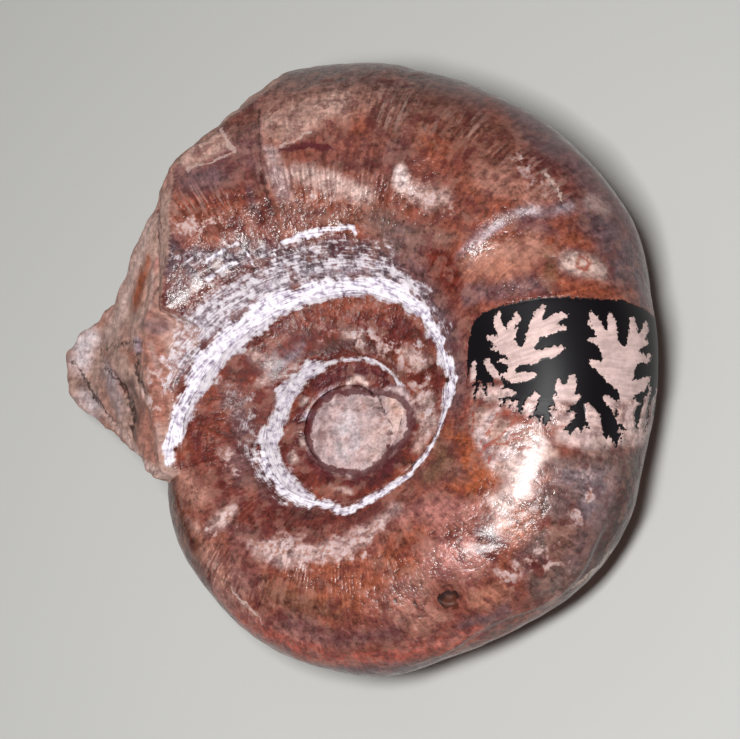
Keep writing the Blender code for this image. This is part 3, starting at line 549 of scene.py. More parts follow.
# Crisp marks drawn by the finish itself: tone, strength, softness, then strokes like the paint's
MARKS = (
    # The pit: umber is partly its own dark red-brown and partly painted shade in the hole; burnt marks its
    # lighter floor.
    ("umber", 0.95, 1.0, ((447, 598, 9.6), (449, 599, 9.4))),
    ("burnt", 0.9, 2.0, ((449, 601, 6.2), (452, 602, 6.0))),
    ("maroon", 0.95, 1.5, ((279, 149, 0.4), (300, 145, 3.2), (318, 146, 2.6), (335, 150, 0.4)),
     ((233, 152, 1), (226, 132, 0.5))),
    # Cream lines along the outer layer's ledges: partly their pale broken edges and partly painted
    # highlight along them.
    ("cream", 0.6, 0.9, ((278, 145, 0.5), (296, 137, 1.0), (310, 131, 0.7)),
     ((222, 127, 1.6), (231, 149, 2.6)),
     ((232, 153, 1.2), (208, 161, 0.8), (186, 170, 0.7))),
    ("umber", 0.85, 1.6, ((70, 362, 0.8), (86, 381, 1.4), (102, 409, 1.4), (114, 423, 0.8)),
     ((98, 342, 0.8), (101, 362, 1.2), (121, 384, 1.8), (133, 413, 1.8), (130, 438, 0.8)),
     ((139, 338, 0.5), (136, 372, 1.2), (147, 396, 0.8)), ((104, 350, 0.4), (120, 344, 0.9),
                                                           (138, 341, 0.5))),
    ("umber", 0.6, 1.0, ((258, 112, 1.0), (260, 150, 1.2), (264, 185, 0.9), (273, 212, 1.4)),
     ((260, 577, 2.6), (264, 583, 2.0))),
    ("umber", 0.7, 0.8, ((378, 396, 0.5), (383, 408, 0.7), (388, 424, 0.7), (391, 436, 0.5)),
     ((296, 283, 0.6), (330, 276, 0.7), (366, 274.5, 0.5))),
    ("maroon", 0.7, 0.8, ((159, 196, 0.7), (158, 250, 0.6), (160, 314, 0.7))),
    ("rim_red", 0.75, 0.8, ((578, 268, 0.6), (586, 271, 0.9), (591, 262, 0.8), (582, 256, 0.6)),
     ((472, 434, 0.5), (474, 416, 1.0), (480, 400, 0.6)), ((482, 443, 0.6), (489, 431, 1.1),
                                                           (498, 414, 0.5)),
     ((478, 456, 1.5), (490, 445, 1.6), (504, 431, 1.2), (516, 421, 1.0)),
     ((490, 446, 1.0), (508, 442, 0.9), (530, 436, 0.5)), ((488, 464, 0.9), (496, 455, 0.6)),
     ((518, 451, 0.9), (538, 446, 0.6)), ((508, 440, 0.7), (524, 430, 0.7), (540, 420, 0.4))),
    ("umber", 0.6, 0.8, ((560, 169, 0.7), (567, 165, 0.7), (574, 171, 0.8), (568, 177, 0.7),
                         (560, 171, 0.7)),
     ((393, 600, 0.5), (401, 594, 0.7), (410, 600, 0.6)), ((418, 594, 0.5), (415, 605, 0.7),
                                                           (424, 612, 0.5))),
    ("cream", 0.8, 0.8, ((232, 585, 0.6), (242, 603, 0.9), (262, 622, 0.5)),
     ((546, 174, 1.5), (557, 186, 1.0), (562, 198, 0.8)),
     ((574, 588, 1.0), (598, 568, 1.2), (616, 545, 0.6))),
)

# The middle disc as its edge is drawn by the finish, and the width of the dark ring around it, which is
# partly dark stone and partly painted shade
DISC_EDGES = (((349, 432, 37.5), (352, 432, 38.5)), ((381, 420, 25), (383, 422, 25)))
DISC_RING = (5.0, 10.0)

# Where the stone is matt, as strokes in pixels
MATT_AREAS = (
    ((447, 598, 6), (449, 599, 6)),
    ((205, 400, 14), (240, 365, 16), (265, 400, 12), (235, 440, 16), (240, 480, 10)),
    ((290, 350, 12), (340, 335, 12)),
)

# Edges of the listed paint in pixels, how far noise tears them, and clouds of a tone over the whole
# stone: strength, size, seed and the limits of the noise
RAGGED_SOFTNESS = 8.0
RAGGED_EDGES = ((5.0, 2.6, 2), (3.0, 1.2, 3))
WIDE_EDGE = 10
GLITTER_EDGE = 6
BROKEN_BACK = -2.0
SEEN_FADE = (-0.12, 0.12)
SEEN_AT_ALL = 0.02
MOSTLY_SEEN = 0.5
MAUVE_CLOUDS = (0.6, 9.0, 0, (0.0, 0.6))
RUST_CLOUDS = (0.45, 4.0, 1, (0.1, 0.6))
HIDDEN_TAN_CLOUDS = (0.6, 6.0, 4, (-0.1, 0.5))
FACET_CLOUDS = (0.6, 9.0, 0, (-0.1, 0.5))
DISC_TINT_EDGE = (4, 8)

# The suture patch: its edges in pixels, and where it ends over the rim in degrees
SUTURE_FRILL = 0.5
SUTURE_FRILL_LENGTH = 0.6
SUTURE_LAST_AROUND = -32.0
SUTURE_LAST_FADE = 4
SUTURE_LAST_TORN = (3, 2.0)
SUTURE_RIM_FADE = 1.5
NO_INK = 9.0
PATCH_EDGE = (-1, 1)
SADDLE_EDGE = (-6, -3)

# The crust: strokes, share, edge in pixels and how far noise tears it
CRUST_LAYERS = ((CRUST_BANDS, 1.0, (-3, 5), 0.9), (CRUST_RIMS, 0.9, (-1, 1.6), 0.15),
                (CRUST_CRUMBS, 0.52, (-7, 7), 1.0), (FAINT_CRUMBS, 0.31, (-7, 7), 1.0))
INNER_DUST = 0.35
DUSTY_CRUMBS = 0.3
CRUMB_SHARES = (0.5, 0.8)
HIDDEN_CRUST = 0.8
HIDDEN_CRUST_EDGE = (0.6, 2.4)
HIDDEN_CRUST_TORN = 0.15

# Growth lines, glitter and fine relief; lumps by height, size and seed
FAINT_LINES = 0.12
BACK_LINES = 0.5
LINE_BREAKS = (1.0, 5.0, 8, (-0.6, 0.3))
LINES_OFF_SEAM = (1.0, 6.0)
LINES_OFF_INK = (0.5, 3.0)
FAINT_GLITTER = 0.2
FINE_RELIEF = 0.05
ROUGH_RELIEF = 0.13
ROUGH_LUMPS = ((1.0, 3.2, 5), (0.8, 1.7, 6))
ROUGH_REST = 1.2
SMOOTH_DISC = 0.9
SMOOTH_PATCH = 0.9
SMOOTH_CALM = 0.7
CRUST_CRUMBLE = 0.3
CRUST_LUMPS = ((1.0, 1.6, 7), (0.7, 0.9, 9))
CRUST_REST = 0.5
CRUMBLE_SHARES = (0.2, 0.6)
RELIEF_TORN = 0.2

# How even, matt and calm the patch, the disc, the calm areas and the broken end are
EVEN = (1.0, 0.3, 0.35, 0.45)
MATT = (0.3, 0.6, 0.0, 0.7)
CALM = (1.0, 0.0, 1.0, 0.6)
INNER_MATT = 0.25
HIDDEN_FLECKS = 0.3
DISC_FLECKS = 0.5

# Noises of the finish: scale, detail and roughness
MOTTLE = (480, 3.0, 0.6)
FINE = (1050, 2.0, 0.5)
GRIT = (2200, 1.5, 0.5)
BLUSH = (330, 3.0, 0.6)
SHADOW = (380, 3.5, 0.6)
SHADOW_SHIFT = (0.3, 0.1, 0.2)
FRILL = (1700, 1.5, 0.6)
STREAK = (0.9, 4.0, 0.6)
STREAK_STRETCH = 0.06
CRUST_STRANDS = (1.0, 4.0, 0.6)
STRAND_STRETCH = 0.1

# Ramps of the finish: from a low and a high value to a start and an end
MOTTLE_SHADE = (0.36, 0.64, -0.28, 0.20)
FINE_SHADE = (0.32, 0.68, -0.22, 0.22)
GRIT_SHADE = (0.3, 0.7, -0.15, 0.15)
STREAK_SHADE = (0.35, 0.65, 0.84, 1.16)
GROOVE_BREAKS = (0.35, 0.6)
FLAKE_GRAIN = (0.35, 0.60)
DISC_RIM = (-0.8, 0.8)
CHALKY = (0.40, 0.55)
DUST = (0.3, 0.6, 1.2, 0.8)
CRUST_COVER = (0.22, 0.82)
CRUST_BORDER = (0.02, 0.14)
INK_BORDER = (-0.5, 0.5, 1.0, 0.0)
ROUGHNESS = (0.3, 0.7, 0.16, 0.34)
INK_RISE = (-1.5, 2.0, 0.12, 1.0)

# Tones laid over the stone and the crust: strength, and the noise where they begin and are full
CREAM_STREAKS = (0.30, 0.50, 0.60)
DARK_STREAKS = (0.5, 0.48, 0.38)
BLUSHES = (0.32, 0.50, 0.60)
SHADOWS = (0.5, 0.52, 0.62)
FLAKES = (0.85, 0.575, 0.635)
SPECKS = (1.0, 0.62, 0.69)
DARK_SPECKS = (0.4, 0.36, 0.26)
DARK_STRANDS = (0.75, 0.42, 0.30)
CRUST_SPECKS = (0.45, 0.38, 0.28)

# Shares and reaches in the finish
EVEN_SHADE = 0.75
# How far the growth lines are painted lighter on their crests and darker in their grooves: painted light
# and shade.
GROOVE_SHADE = 0.36
FLAKES_IN_AREAS = 0.10
SPECKS_IN_AREAS = 0.12
# Pale specks laid with the glitter, which partly paint glints, and the few specks elsewhere.
GLITTER_SPECKS = 0.5
FEW_SPECKS = 0.08
MARK_WARP = 16.0
MARK_WOBBLE = 5.0
NO_SHIFT = 1e-9
DISC_RING_SHARE = 0.85
TORN_FINE = 1.2
TORN_GRIT = 0.5
TORN_STRANDS = 1.2
INK_FRILL = 6.5
DULL_CRUST = 0.8
DULLNESS = 0.45
INK_ROUGHNESS = 0.46
SPECULAR = 0.28
COAT = 0.15
LESS_COAT = 0.6
COAT_ROUGHNESS = 0.16
MOTTLE_RISE = 0.6
FINE_RISE = 0.32
GROOVE_RISE = 0.10
GLITTER_RISE = 0.30
GRIT_RISE = 0.04
CALM_RISE = 0.75
BUMP_METRES = 0.0005

# What the winding tree is told
WINDING = {"Coil Radius": COIL_RADIUS, "Growth Per Turn": GROWTH_PER_TURN, "Inner Reach": INNER_REACH,
           "Half Width": HALF_WIDTH, "Centre Lift": CENTRE_LIFT, "Lift Fade": LIFT_FADE,
           "Growth Lines Per Turn": float(GROWTH_LINES_PER_TURN), "Growth Line Height": 0.05}
FLOOR_LEVEL = (-1.0, -1.0, 0.0)

LATTICE = np.random.default_rng(11).uniform(-1, 1, (64, 64, 64))


def smooth_step(low, high, value):
    """0 below low, 1 above high, and an even slope between them."""
    share = np.clip((value - low) / (high - low), 0.0, 1.0)
    return share * share * (3 - 2 * share)


def fade(low, high, value):
    """1 below low, 0 above high, and an even slope between them."""
    return 1 - smooth_step(low, high, value)


def window(low, high, edge, value):
    """1 between low and high, fading to 0 over an edge inside them."""
    return smooth_step(low, low + edge, value) * fade(high - edge, high, value)


def lumps(point, wave_length, seed):
    """Slow swells between -1 and 1."""
    total = 0.0
    for k in range(4):
        way = np.array([math.sin(seed + 2.1 * k), math.cos(1.7 * seed + 3.3 * k),
                        math.sin(0.6 * seed + 1.3 * k + 0.8)])
        total = total + np.sin(point @ way * TAU / wave_length + seed * (k + 1))
    return total / 4


def grain(points, size, seed=0.0):
    """Smooth random bumps between -1 and 1, about one to each size."""
    spot = points / size + seed * 7.31
    cell = np.floor(spot).astype(int)
    part = spot - cell
    part = part * part * (3 - 2 * part)
    total = 0.0
    for corner in range(8):
        step = np.array([corner & 1, corner >> 1 & 1, corner >> 2 & 1])
        at = (cell + step) % len(LATTICE)
        weight = np.prod(np.where(step == 1, part, 1 - part), axis=-1)
        total = total + weight * LATTICE[at[..., 0], at[..., 1], at[..., 2]]
    return total


def layered(points, layers):
    """Random bumps of several heights, sizes and seeds."""
    return sum(height * grain(points, size, seed) for height, size, seed in layers)


def growth(turn):
    """Radius of a plain spiral at an angle in radians."""
    return COIL_RADIUS * GROWTH_PER_TURN ** (turn / TAU)


def sway(turn):
    """How far the coil is out of round at an angle."""
    total = 1.0
    for wave, (cosine, sine) in enumerate(OUT_OF_ROUND, start=1):
        total = total + cosine * np.cos(wave * turn) + sine * np.sin(wave * turn)
    return total


def outer_factor(turn):
    """Outward reach of the tube over its inward reach."""
    degrees = np.degrees(turn)
    first_angle, first_factor = OUTER_REACH[0]
    factor = 1.0 + (first_factor - 1.0) * smooth_step(first_angle - REACH_LEAD_IN, first_angle, degrees)
    for (low, start), (high, end) in zip(OUTER_REACH, OUTER_REACH[1:]):
        factor = factor + (end - start) * smooth_step(low, high, degrees)
    return factor


def lift(turn):
    """How far the tube's middle lies toward the front."""
    return CENTRE_LIFT * np.exp(-growth(turn) / LIFT_FADE)


def section(turn, around):
    """Radius and height on the tube; around is 0 on the venter and positive on the front."""
    reach = INNER_REACH * growth(turn) * np.where(np.cos(around) > 0, outer_factor(turn), 1.0)
    radius = growth(turn) * sway(turn) + reach * np.cos(around)
    return radius, lift(turn) + HALF_WIDTH * growth(turn) * np.sin(around)


def in_section(turn, radius, height):
    """Where a point stands in a section: across and up, both 1 at the tube's wall."""
    off = radius - growth(turn) * sway(turn)
    reach = INNER_REACH * growth(turn) * np.where(off > 0, outer_factor(turn), 1.0)
    return off / reach, (height - lift(turn)) / (HALF_WIDTH * growth(turn))


def tube_point(turn, around):
    """Point on the tube in the shell frame."""
    turn, around = np.broadcast_arrays(turn, around)
    radius, height = section(turn, around)
    return np.stack([radius * np.cos(turn), radius * np.sin(turn), height], axis=-1)


def tube_normal(turn, around):
    """Outward direction of the tube's wall."""
    small = 1e-4
    along = tube_point(turn + small, around) - tube_point(turn - small, around)
    across = tube_point(turn, around + small) - tube_point(turn, around - small)
    normal = np.cross(along, across)
    return normal / np.linalg.norm(normal, axis=-1, keepdims=True)


def seam_angle(turn, side):
    """Where around the tube it meets the whorl a turn earlier; side is 1 in front, -1 behind."""
    low = np.full(np.shape(turn), TAU / 4)
    high = np.full(np.shape(turn), TAU / 2)
    for _ in range(SEAM_HALVINGS):
        guess = (low + high) / 2
        across, up = in_section(turn - TAU, *section(turn, side * guess))
        inside = across ** 2 + up ** 2 < 1
        high = np.where(inside, guess, high)
        low = np.where(inside, low, guess)
    return side * (low + high) / 2


def touch_angle(turn, side):
    """Where around the tube the whorl a turn later meets it."""
    later = turn + TAU
    across, up = in_section(turn, *section(later, seam_angle(later, side)))
    return np.arctan2(up, across)


def relief(turn, around):
    """Height of the stone over the plain tube, away from the seams."""
    degrees, aside = np.degrees(turn), np.degrees(around)
    height = LUMP_HEIGHT * lumps(tube_point(turn, around), LUMP_LENGTH, LUMP_SEED)
    ridge = np.exp(-((degrees - RIDGE_ANGLE) / RIDGE_HALF_ANGLE) ** 2)
    height = height + RIDGE_HEIGHT * ridge * window(*RIDGE_AROUND, RIDGE_FADE, aside)
    ledge = window(*LEDGE_ANGLES, EDGE_FADE, degrees) * window(*LEDGE_AROUND, EDGE_FADE, aside)
    height = height + LEDGE_HEIGHT * ledge
    jagged = RIM_AROUND + RIM_WAVE_AROUND * np.sin(degrees * RIM_WAVES_PER_DEGREE)
    rim = window(*RIM_ANGLES, RIM_ANGLE_FADE, degrees) * smooth_step(*RIM_BACK_FADE, aside)
    height = height - RIM_DEPTH * rim * fade(-EDGE_FADE, EDGE_FADE, aside - jagged)
    pit_place = tube_point(math.radians(PIT_ANGLE), math.radians(PIT_AROUND))
    gap = np.linalg.norm(tube_point(turn, around) - pit_place, axis=-1) / PIT_RADIUS
    return height - PIT_DEPTH * fade(*PIT_EDGE, gap)


def from_middle(points):
    """Distance of points from the middle of the stone disc, along the coil's plane."""
    return np.hypot(points[..., 0] - DISC_CENTRE[0], points[..., 1] - DISC_CENTRE[1])


def filled_in(points, side):
    """How far points in the middle of the coil rise to the disc in front or the filling behind."""
    away = from_middle(points) / DISC_RADIUS
    if side > 0:
        filled = np.maximum(points[..., 2], DISC_TOP - DISC_CROWN * away ** 2)
    else:
        filled = np.minimum(points[..., 2], BACK_TOP + DISC_CROWN * away ** 2)
    rise = np.zeros(points.shape)
    rise[..., 2] = (filled - points[..., 2]) * fade(*DISC_EDGE, away)
    return rise


def margin(points, faces):
    """How far points lie outside the space behind some fracture faces; below 0 is stone."""
    gaps = [(points - np.array(place)) @ (np.array(way) / math.hypot(*way)) for place, way in faces]
    return np.maximum.reduce(gaps)


def broken_depth(outside, inside):
    """How far in the stone begins, as a share of the way from the tube's wall to the whorl beneath."""
    depths = np.linspace(0, 1, DEPTH_STEPS + 1).reshape(-1, *[1] * (outside.ndim - 1))
    points = outside + (inside - outside) * depths[..., None]
    parts = [margin(points, part) for part in (UPPER_PART, MIDDLE_PART, BLOCK_PART)]
    gap = np.minimum.reduce(parts)
    for height, length, seed in BREAK_LUMPS:
        gap = gap + height * lumps(points, length, seed)
    height, length = BREAK_CRUMB
    gap = gap + height * (1 + grain(points, length))
    gap[-1] = np.minimum(gap[-1], -1e-6)
    index = np.argmax(gap < 0, axis=0)
    within = np.take_along_axis(gap, index[None], axis=0)[0]
    before = np.take_along_axis(gap, np.maximum(index - 1, 0)[None], axis=0)[0]
    way = np.where(index > 0, before / np.where(index > 0, before - within, 1), 1)
    return np.where(index > 0, (index - 1 + way) / DEPTH_STEPS, 0)


def shell_axes():
    """The camera's right, up and toward-the-viewer ways in the world, and the stone's lean."""
    tilt, turn = math.radians(VIEW_TILT), math.radians(VIEW_TURN)
    toward = Vector((math.sin(tilt) * math.cos(turn), math.sin(tilt) * math.sin(turn), math.cos(tilt)))
    turned = Matrix.Rotation(tilt, 3, Vector((-math.sin(turn), math.cos(turn), 0)))
    aim = math.radians(LEAN_TOWARD)
    lean = Matrix.Rotation(math.radians(LEAN_DEGREES), 3, Vector((-math.sin(aim), math.cos(aim), 0)))
    return lean @ turned @ Vector((1, 0, 0)), lean @ turned @ Vector((0, 1, 0)), lean @ toward, lean


def eye_point():
    """Where the camera stands in the world, in millimetres."""
    right, up, toward, _ = shell_axes()
    across = (PICTURE_SIZE[0] / 2 - AXIS_PIXEL[0]) / PIXELS_PER_MM
    above = (AXIS_PIXEL[1] - PICTURE_SIZE[1] / 2) / PIXELS_PER_MM
    return right * across + up * above + toward * VIEW_DISTANCE + Vector(PLACE)


def in_picture(points):
    """Where points of the shell frame stand in the picture, in pixels."""
    right, up, toward, lean = [np.array(part) for part in shell_axes()]
    gap = points @ lean.T + np.array(PLACE) - np.array(eye_point())
    scale = VIEW_DISTANCE * PIXELS_PER_MM / -(gap @ toward)
    return np.stack([PICTURE_SIZE[0] / 2 + (gap @ right) * scale,
                     PICTURE_SIZE[1] / 2 - (gap @ up) * scale], axis=-1)


def stroke_gap(spots, stroke):
    """How far picture points lie outside a tapered stroke of (x, y, half width) points; below 0 inside."""
    stroke = stroke if len(stroke) > 1 else stroke * 2
    nearest = np.full(len(spots), np.inf)
    for (x, y, half), (next_x, next_y, next_half) in zip(stroke, stroke[1:]):
        start, way = np.array([x, y]), np.array([next_x - x, next_y - y])
        share = np.clip((spots - start) @ way / max(way @ way, 1e-9), 0, 1)
        gap = np.linalg.norm(spots - start - share[:, None] * way, axis=-1)
        nearest = np.minimum(nearest, gap - half - share * (next_half - half))
    return nearest


def strokes_gap(spots, strokes):
    """Gap to the nearest of several strokes."""
    return np.minimum.reduce([stroke_gap(spots, stroke) for stroke in strokes])


def outline_gap(spots, corners):
    """How far picture points lie outside a closed outline; below 0 inside."""
    nearest = np.full(len(spots), np.inf)
    inside = np.zeros(len(spots), bool)
    for (x, y), (next_x, next_y) in zip(corners, corners[1:] + corners[:1]):
        nearest = np.minimum(nearest, stroke_gap(spots, ((x, y, 0), (next_x, next_y, 0))))
        level = (y > spots[:, 1]) != (next_y > spots[:, 1])
        cross = x + (spots[:, 1] - y) * (next_x - x) / ((next_y - y) or 1e-9)
        inside ^= level & (spots[:, 0] < cross)
    return np.where(inside, -nearest, nearest)


class Skin:
    """The stone's skin: for every point its angles, its height over the wall and how it is set in."""

    def __init__(self):
        self.sheets = []
        self.faces = []
        self.count = 0

    def add(self, turn, around, outward, height, offset, depth=0.0, seam_gap=NO_SEAM):
        """Store a sheet of points and give their numbers in the sheet's own layout."""
        shape = np.broadcast_shapes(np.shape(turn), np.shape(around))
        parts = (turn, around, height, depth, seam_gap)
        flat = [np.broadcast_to(part, shape).reshape(-1) for part in parts]
        vectors = [np.broadcast_to(part, (*shape, 3)).reshape(-1, 3) for part in (outward, offset)]
        self.sheets.append((*flat, *vectors))
        size = flat[0].size
        self.count += size
        return np.arange(self.count - size, self.count).reshape(shape)

    def add_places(self, places, way):
        """Store points of the middle by their place and give their numbers."""
        turn = np.full(len(places), math.radians(FIRST_ANGLE))
        around = np.zeros(len(places))
        return self.add(turn, around, way, 0.0, places - tube_point(turn, around))

    def places(self):
        """Where all the points stand in the shell frame."""
        turn, around, height, _, _, outward, offset = self.gathered()
        return tube_point(turn, around) + outward * height[:, None] + offset

    def grid(self, numbers):
        """Fill a grid of points with triangles."""
        a, b = numbers[:-1, :-1].ravel(), numbers[:-1, 1:].ravel()
        c, d = numbers[1:, 1:].ravel(), numbers[1:, :-1].ravel()
        self.faces.append(np.stack([a, b, c], axis=-1))
        self.faces.append(np.stack([a, c, d], axis=-1))

    def join(self, row, other, shares, other_shares):
        """Fill between two rows of points, keeping in step with their shares of the way."""
        triangles = []
        i = j = 0
        while i < len(row) - 1 or j < len(other) - 1:
            step_row = j == len(other) - 1
            if i < len(row) - 1 and j < len(other) - 1:
                step_row = shares[i + 1] + shares[i] < other_shares[j + 1] + other_shares[j]
            if step_row:
                triangles.append((row[i], row[i + 1], other[j]))
                i += 1
            else:
                triangles.append((row[i], other[j + 1], other[j]))
                j += 1
        self.faces.append(np.array(triangles))

    def gathered(self):
        """All the sheets end to end."""
        return [np.concatenate(parts) for parts in zip(*self.sheets)]


def wall(turn, around, seams):
    """Outward way, height over the plain tube and gap to the nearest seam, for points on the wall."""
    place, normal = tube_point(turn, around), tube_normal(turn, around)
    height = relief(turn, around)
    nearest = np.full(height.shape, NO_SEAM)
    for seam in seams:
        gap = np.linalg.norm(place - tube_point(turn, seam), axis=-1)
        height = height + CRUST_HEIGHT * np.exp(-(gap / CRUST_SPREAD) ** 2)
        nearest = np.minimum(nearest, gap)
    return normal, height * smooth_step(*MIDDLE_FADE, from_middle(place)), nearest


def seam_row(skin, turns, side):
    """Points along a seam, raised out of the valley between the two whorls."""
    around = seam_angle(turns, side)
    way = tube_normal(turns, around) + tube_normal(turns - TAU, touch_angle(turns - TAU, side))
    way = way / np.linalg.norm(way, axis=-1, keepdims=True)
    place = tube_point(turns, around)
    height = SEAM_CRUST_SHARE * CRUST_HEIGHT * smooth_step(*MIDDLE_FADE, from_middle(place))
    offset = filled_in(place + way * height[:, None], side)
    return skin.add(turns, around, way, height, offset, 0.0, 0.0)


def crowded(share, amount=0.075):
    """Shares from 0 to 1 that stand closer together near both ends."""
    return share - amount * np.sin(TAU * share)


def flank(skin, turns, seams, side):
    """The bare flank of the older whorls, in rows along the coil between two seams."""
    rows = FRONT_FLANK_ROWS if side > 0 else BACK_FLANK_ROWS
    own = turns <= START + 1e-9
    later = turns >= turns[0] + TAU - 1e-9
    steps = turns[own]
    seam, touch = seam_angle(steps, side), touch_angle(steps, side)
    shares = crowded(np.linspace(0, 1, rows + 1))[1:-1, None]
    around = seam + shares * (touch - seam)
    outward, height, gap = wall(steps, around, (seam, touch))
    place = tube_point(steps, around) + outward * height[..., None]
    sheet = skin.add(steps, around, outward, height, filled_in(place, side), 0.0, gap)
    skin.grid(sheet)
    skin.join(seams[own], sheet[0], steps, steps)
    skin.join(sheet[-1], seams[later], steps, turns[later] - TAU)
    first = [seams[own][0], *sheet[:, 0], seams[later][0]]
    last = [seams[own][-1], *sheet[:, -1], seams[later][-1]]
    return seams[turns <= turns[0] + TAU + 1e-9], first, last


def girth_shares(belts):
    """Shares from the front seam round to the back seam, by belts of even steps."""
    shares, start = [0.0], 0.0
    for end, steps in belts:
        shares += list(np.linspace(start, end, steps + 1)[1:])
        start = end
    return np.array(shares)


def covered_sheet(skin, shares):
    """The row of the whorl beneath where the newest whorl starts and ends."""
    front, back = touch_angle(START, 1), touch_angle(START, -1)
    around = front + shares * (back - front)
    turn = np.full(around.shape, START)
    outward, height, _ = wall(turn, around, ())
    return skin.add(turn, around, outward, height, np.zeros((len(shares), 3)), 1.0, NO_SEAM)


def girth_sheet(skin, turns, shares, seam_numbers):
    """Columns of the newest whorl from the front seam round to the back one."""
    turn = turns[:, None]
    front, back = seam_angle(turn, 1), seam_angle(turn, -1)
    around = front + shares[1:-1] * (back - front)
    full_turn = np.broadcast_to(turn, around.shape)
    outward, height, gap = wall(full_turn, around, (front, back))
    offset = np.zeros((*around.shape, 3))
    depth = np.zeros(around.shape)
    broken = turns > math.radians(LAST_ANGLE - BROKEN_STRETCH)
    if broken.any():
        under_turn = full_turn[broken] - TAU
        touch_front, touch_back = touch_angle(under_turn[:, :1], 1), touch_angle(under_turn[:, :1], -1)
        under = touch_front + shares[1:-1] * (touch_back - touch_front)
        normal, rise, _ = wall(under_turn, under, ())
        inside = tube_point(under_turn, under) + normal * rise[..., None]
        outside = (tube_point(full_turn, around) + outward * height[..., None])[broken]
        depth[broken] = broken_depth(outside, inside)
        offset[broken] = (inside - outside) * depth[broken][..., None]
    middle = skin.add(full_turn, around, outward, height, offset, depth, gap)
    return np.column_stack([seam_numbers[1], middle, seam_numbers[-1]])


def close_middle(skin, loop, side):
    """Rings that close the innermost whorls around a point inside them."""
    centre = np.array([*FAN_CENTRE, DISC_TOP if side > 0 else BACK_TOP])
    rim = skin.places()[loop]
    way = np.array([0.0, 0.0, float(side)])
    row, shares = [*loop, loop[0]], np.linspace(0, 1, len(loop) + 1)
    for share, step in DISC_RINGS:
        ring = rim[::step] + (centre - rim[::step]) * share
        if side > 0:
            away = from_middle(ring) / DISC_RADIUS
            domed = DISC_TOP - DISC_CROWN * away ** 2
            ring[:, 2] += (domed - ring[:, 2]) * fade(*DISC_EDGE, away)
        numbers = skin.add_places(ring, way)
        ring_shares = np.append(np.arange(0, len(loop), step) / len(loop), 1)
        skin.join(row, [*numbers, numbers[0]], shares, ring_shares)
        row, shares = [*numbers, numbers[0]], ring_shares
    skin.join(row, list(skin.add_places(centre[None], way)), shares, np.zeros(1))


def lay_out_skin():
    """The whole closed skin."""
    skin = Skin()
    plain = np.arange(FIRST_ANGLE, LAST_ANGLE - 360 - 1e-6, PLAIN_COLUMN)
    steps = round(360 / FINE_COLUMN)
    turns = np.radians(np.concatenate([plain, LAST_ANGLE - 360 + np.arange(steps + 1) * FINE_COLUMN]))
    seams, loops, lasts = {}, {}, {}
    for side in (1, -1):
        seams[side] = seam_row(skin, turns, side)
        inner_seam, first, lasts[side] = flank(skin, turns, seams[side], side)
        loops[side] = [*inner_seam, *first[1:-1][::-1]]
    coarse = girth_shares((SEAM_BELT, FRONT_BELT, BACK_BELT))
    fine = girth_shares((PAINTED_FRONT_BELT, BACK_BELT))
    covered = covered_sheet(skin, coarse[1:-1])
    touch = [touch_angle(START, 1), touch_angle(START, -1)]
    seam = [seam_angle(START, 1), seam_angle(START, -1)]
    front_flank = crowded(np.linspace(0, 1, FRONT_FLANK_ROWS + 1))
    back_flank = crowded(np.linspace(0, 1, BACK_FLANK_ROWS + 1))
    around = np.concatenate([seam[0] + front_flank * (touch[0] - seam[0]),
                             touch[0] + coarse[1:-1] * (touch[1] - touch[0]),
                             (seam[1] + back_flank * (touch[1] - seam[1]))[::-1]])
    row = [*lasts[1], *covered, *lasts[-1][::-1]]
    row_shares = (around - seam[0]) / (seam[1] - seam[0])
    low, high = np.radians(PAINTED_STRETCH)
    limits = ((START, low, coarse), (low, high, fine), (high, math.radians(LAST_ANGLE) - 1e-6, coarse))
    for low, high, shares in limits:
        chosen = (turns > low + 1e-9) & (turns <= high)
        numbers = {side: seams[side][chosen] for side in seams}
        sheet = girth_sheet(skin, turns[chosen], shares, numbers)
        skin.join(row, sheet[0], row_shares, shares)
        skin.grid(sheet)
        row, row_shares = sheet[-1], shares
    last = [seams[1][-1], *covered, seams[-1][-1]]
    skin.join(row, last, row_shares, coarse)
    for side in (1, -1):
        close_middle(skin, loops[side], side)
    return skin


def add_camera():
    """A camera at the photograph's viewing angle."""
    right, up, toward, _ = shell_axes()
    camera = bpy.data.objects.new("camera", bpy.data.cameras.new("camera"))
    camera.data.sensor_width = SENSOR_MM
    camera.data.lens = SENSOR_MM * VIEW_DISTANCE * PIXELS_PER_MM / PICTURE_SIZE[0]
    camera.data.clip_start = CLIP_START
    spin = Matrix((right, up, toward)).transposed()
    camera.matrix_world = Matrix.Translation(eye_point() * METRES_PER_MM) @ spin.to_4x4()
    bpy.context.scene.collection.objects.link(camera)
    bpy.context.scene.camera = camera


def in_pixels(strokes, corner):
    """Strokes drawn in parts of a pixel from a corner, in pixels."""
    return [[(corner[0] + x / PARTS_OF_A_PIXEL, corner[1] + y / PARTS_OF_A_PIXEL, half / PARTS_OF_A_PIXEL)
             for x, y, half in stroke] for stroke in strokes]


def linear(tone):
    """A display tone as light."""
    share = np.array(TONES[tone]) / 255
    return np.where(share <= 0.04045, share / 12.92, ((share + 0.055) / 1.055) ** 2.4)


def laid_over(colour, tone, weight):
    """A colour with a tone laid over it by weight."""
    return colour + (linear(tone) - colour) * weight[:, None]


def brush(colour, spots, paint, ragged, reach):
    """Lay listed strokes of paint over a colour."""
    for tone, strength, softness, *strokes in paint:
        gap = strokes_gap(spots, strokes) + ragged * min(1.0, softness / RAGGED_SOFTNESS)
        colour = laid_over(colour, tone, strength * reach * fade(-softness, softness, gap))
    return colour


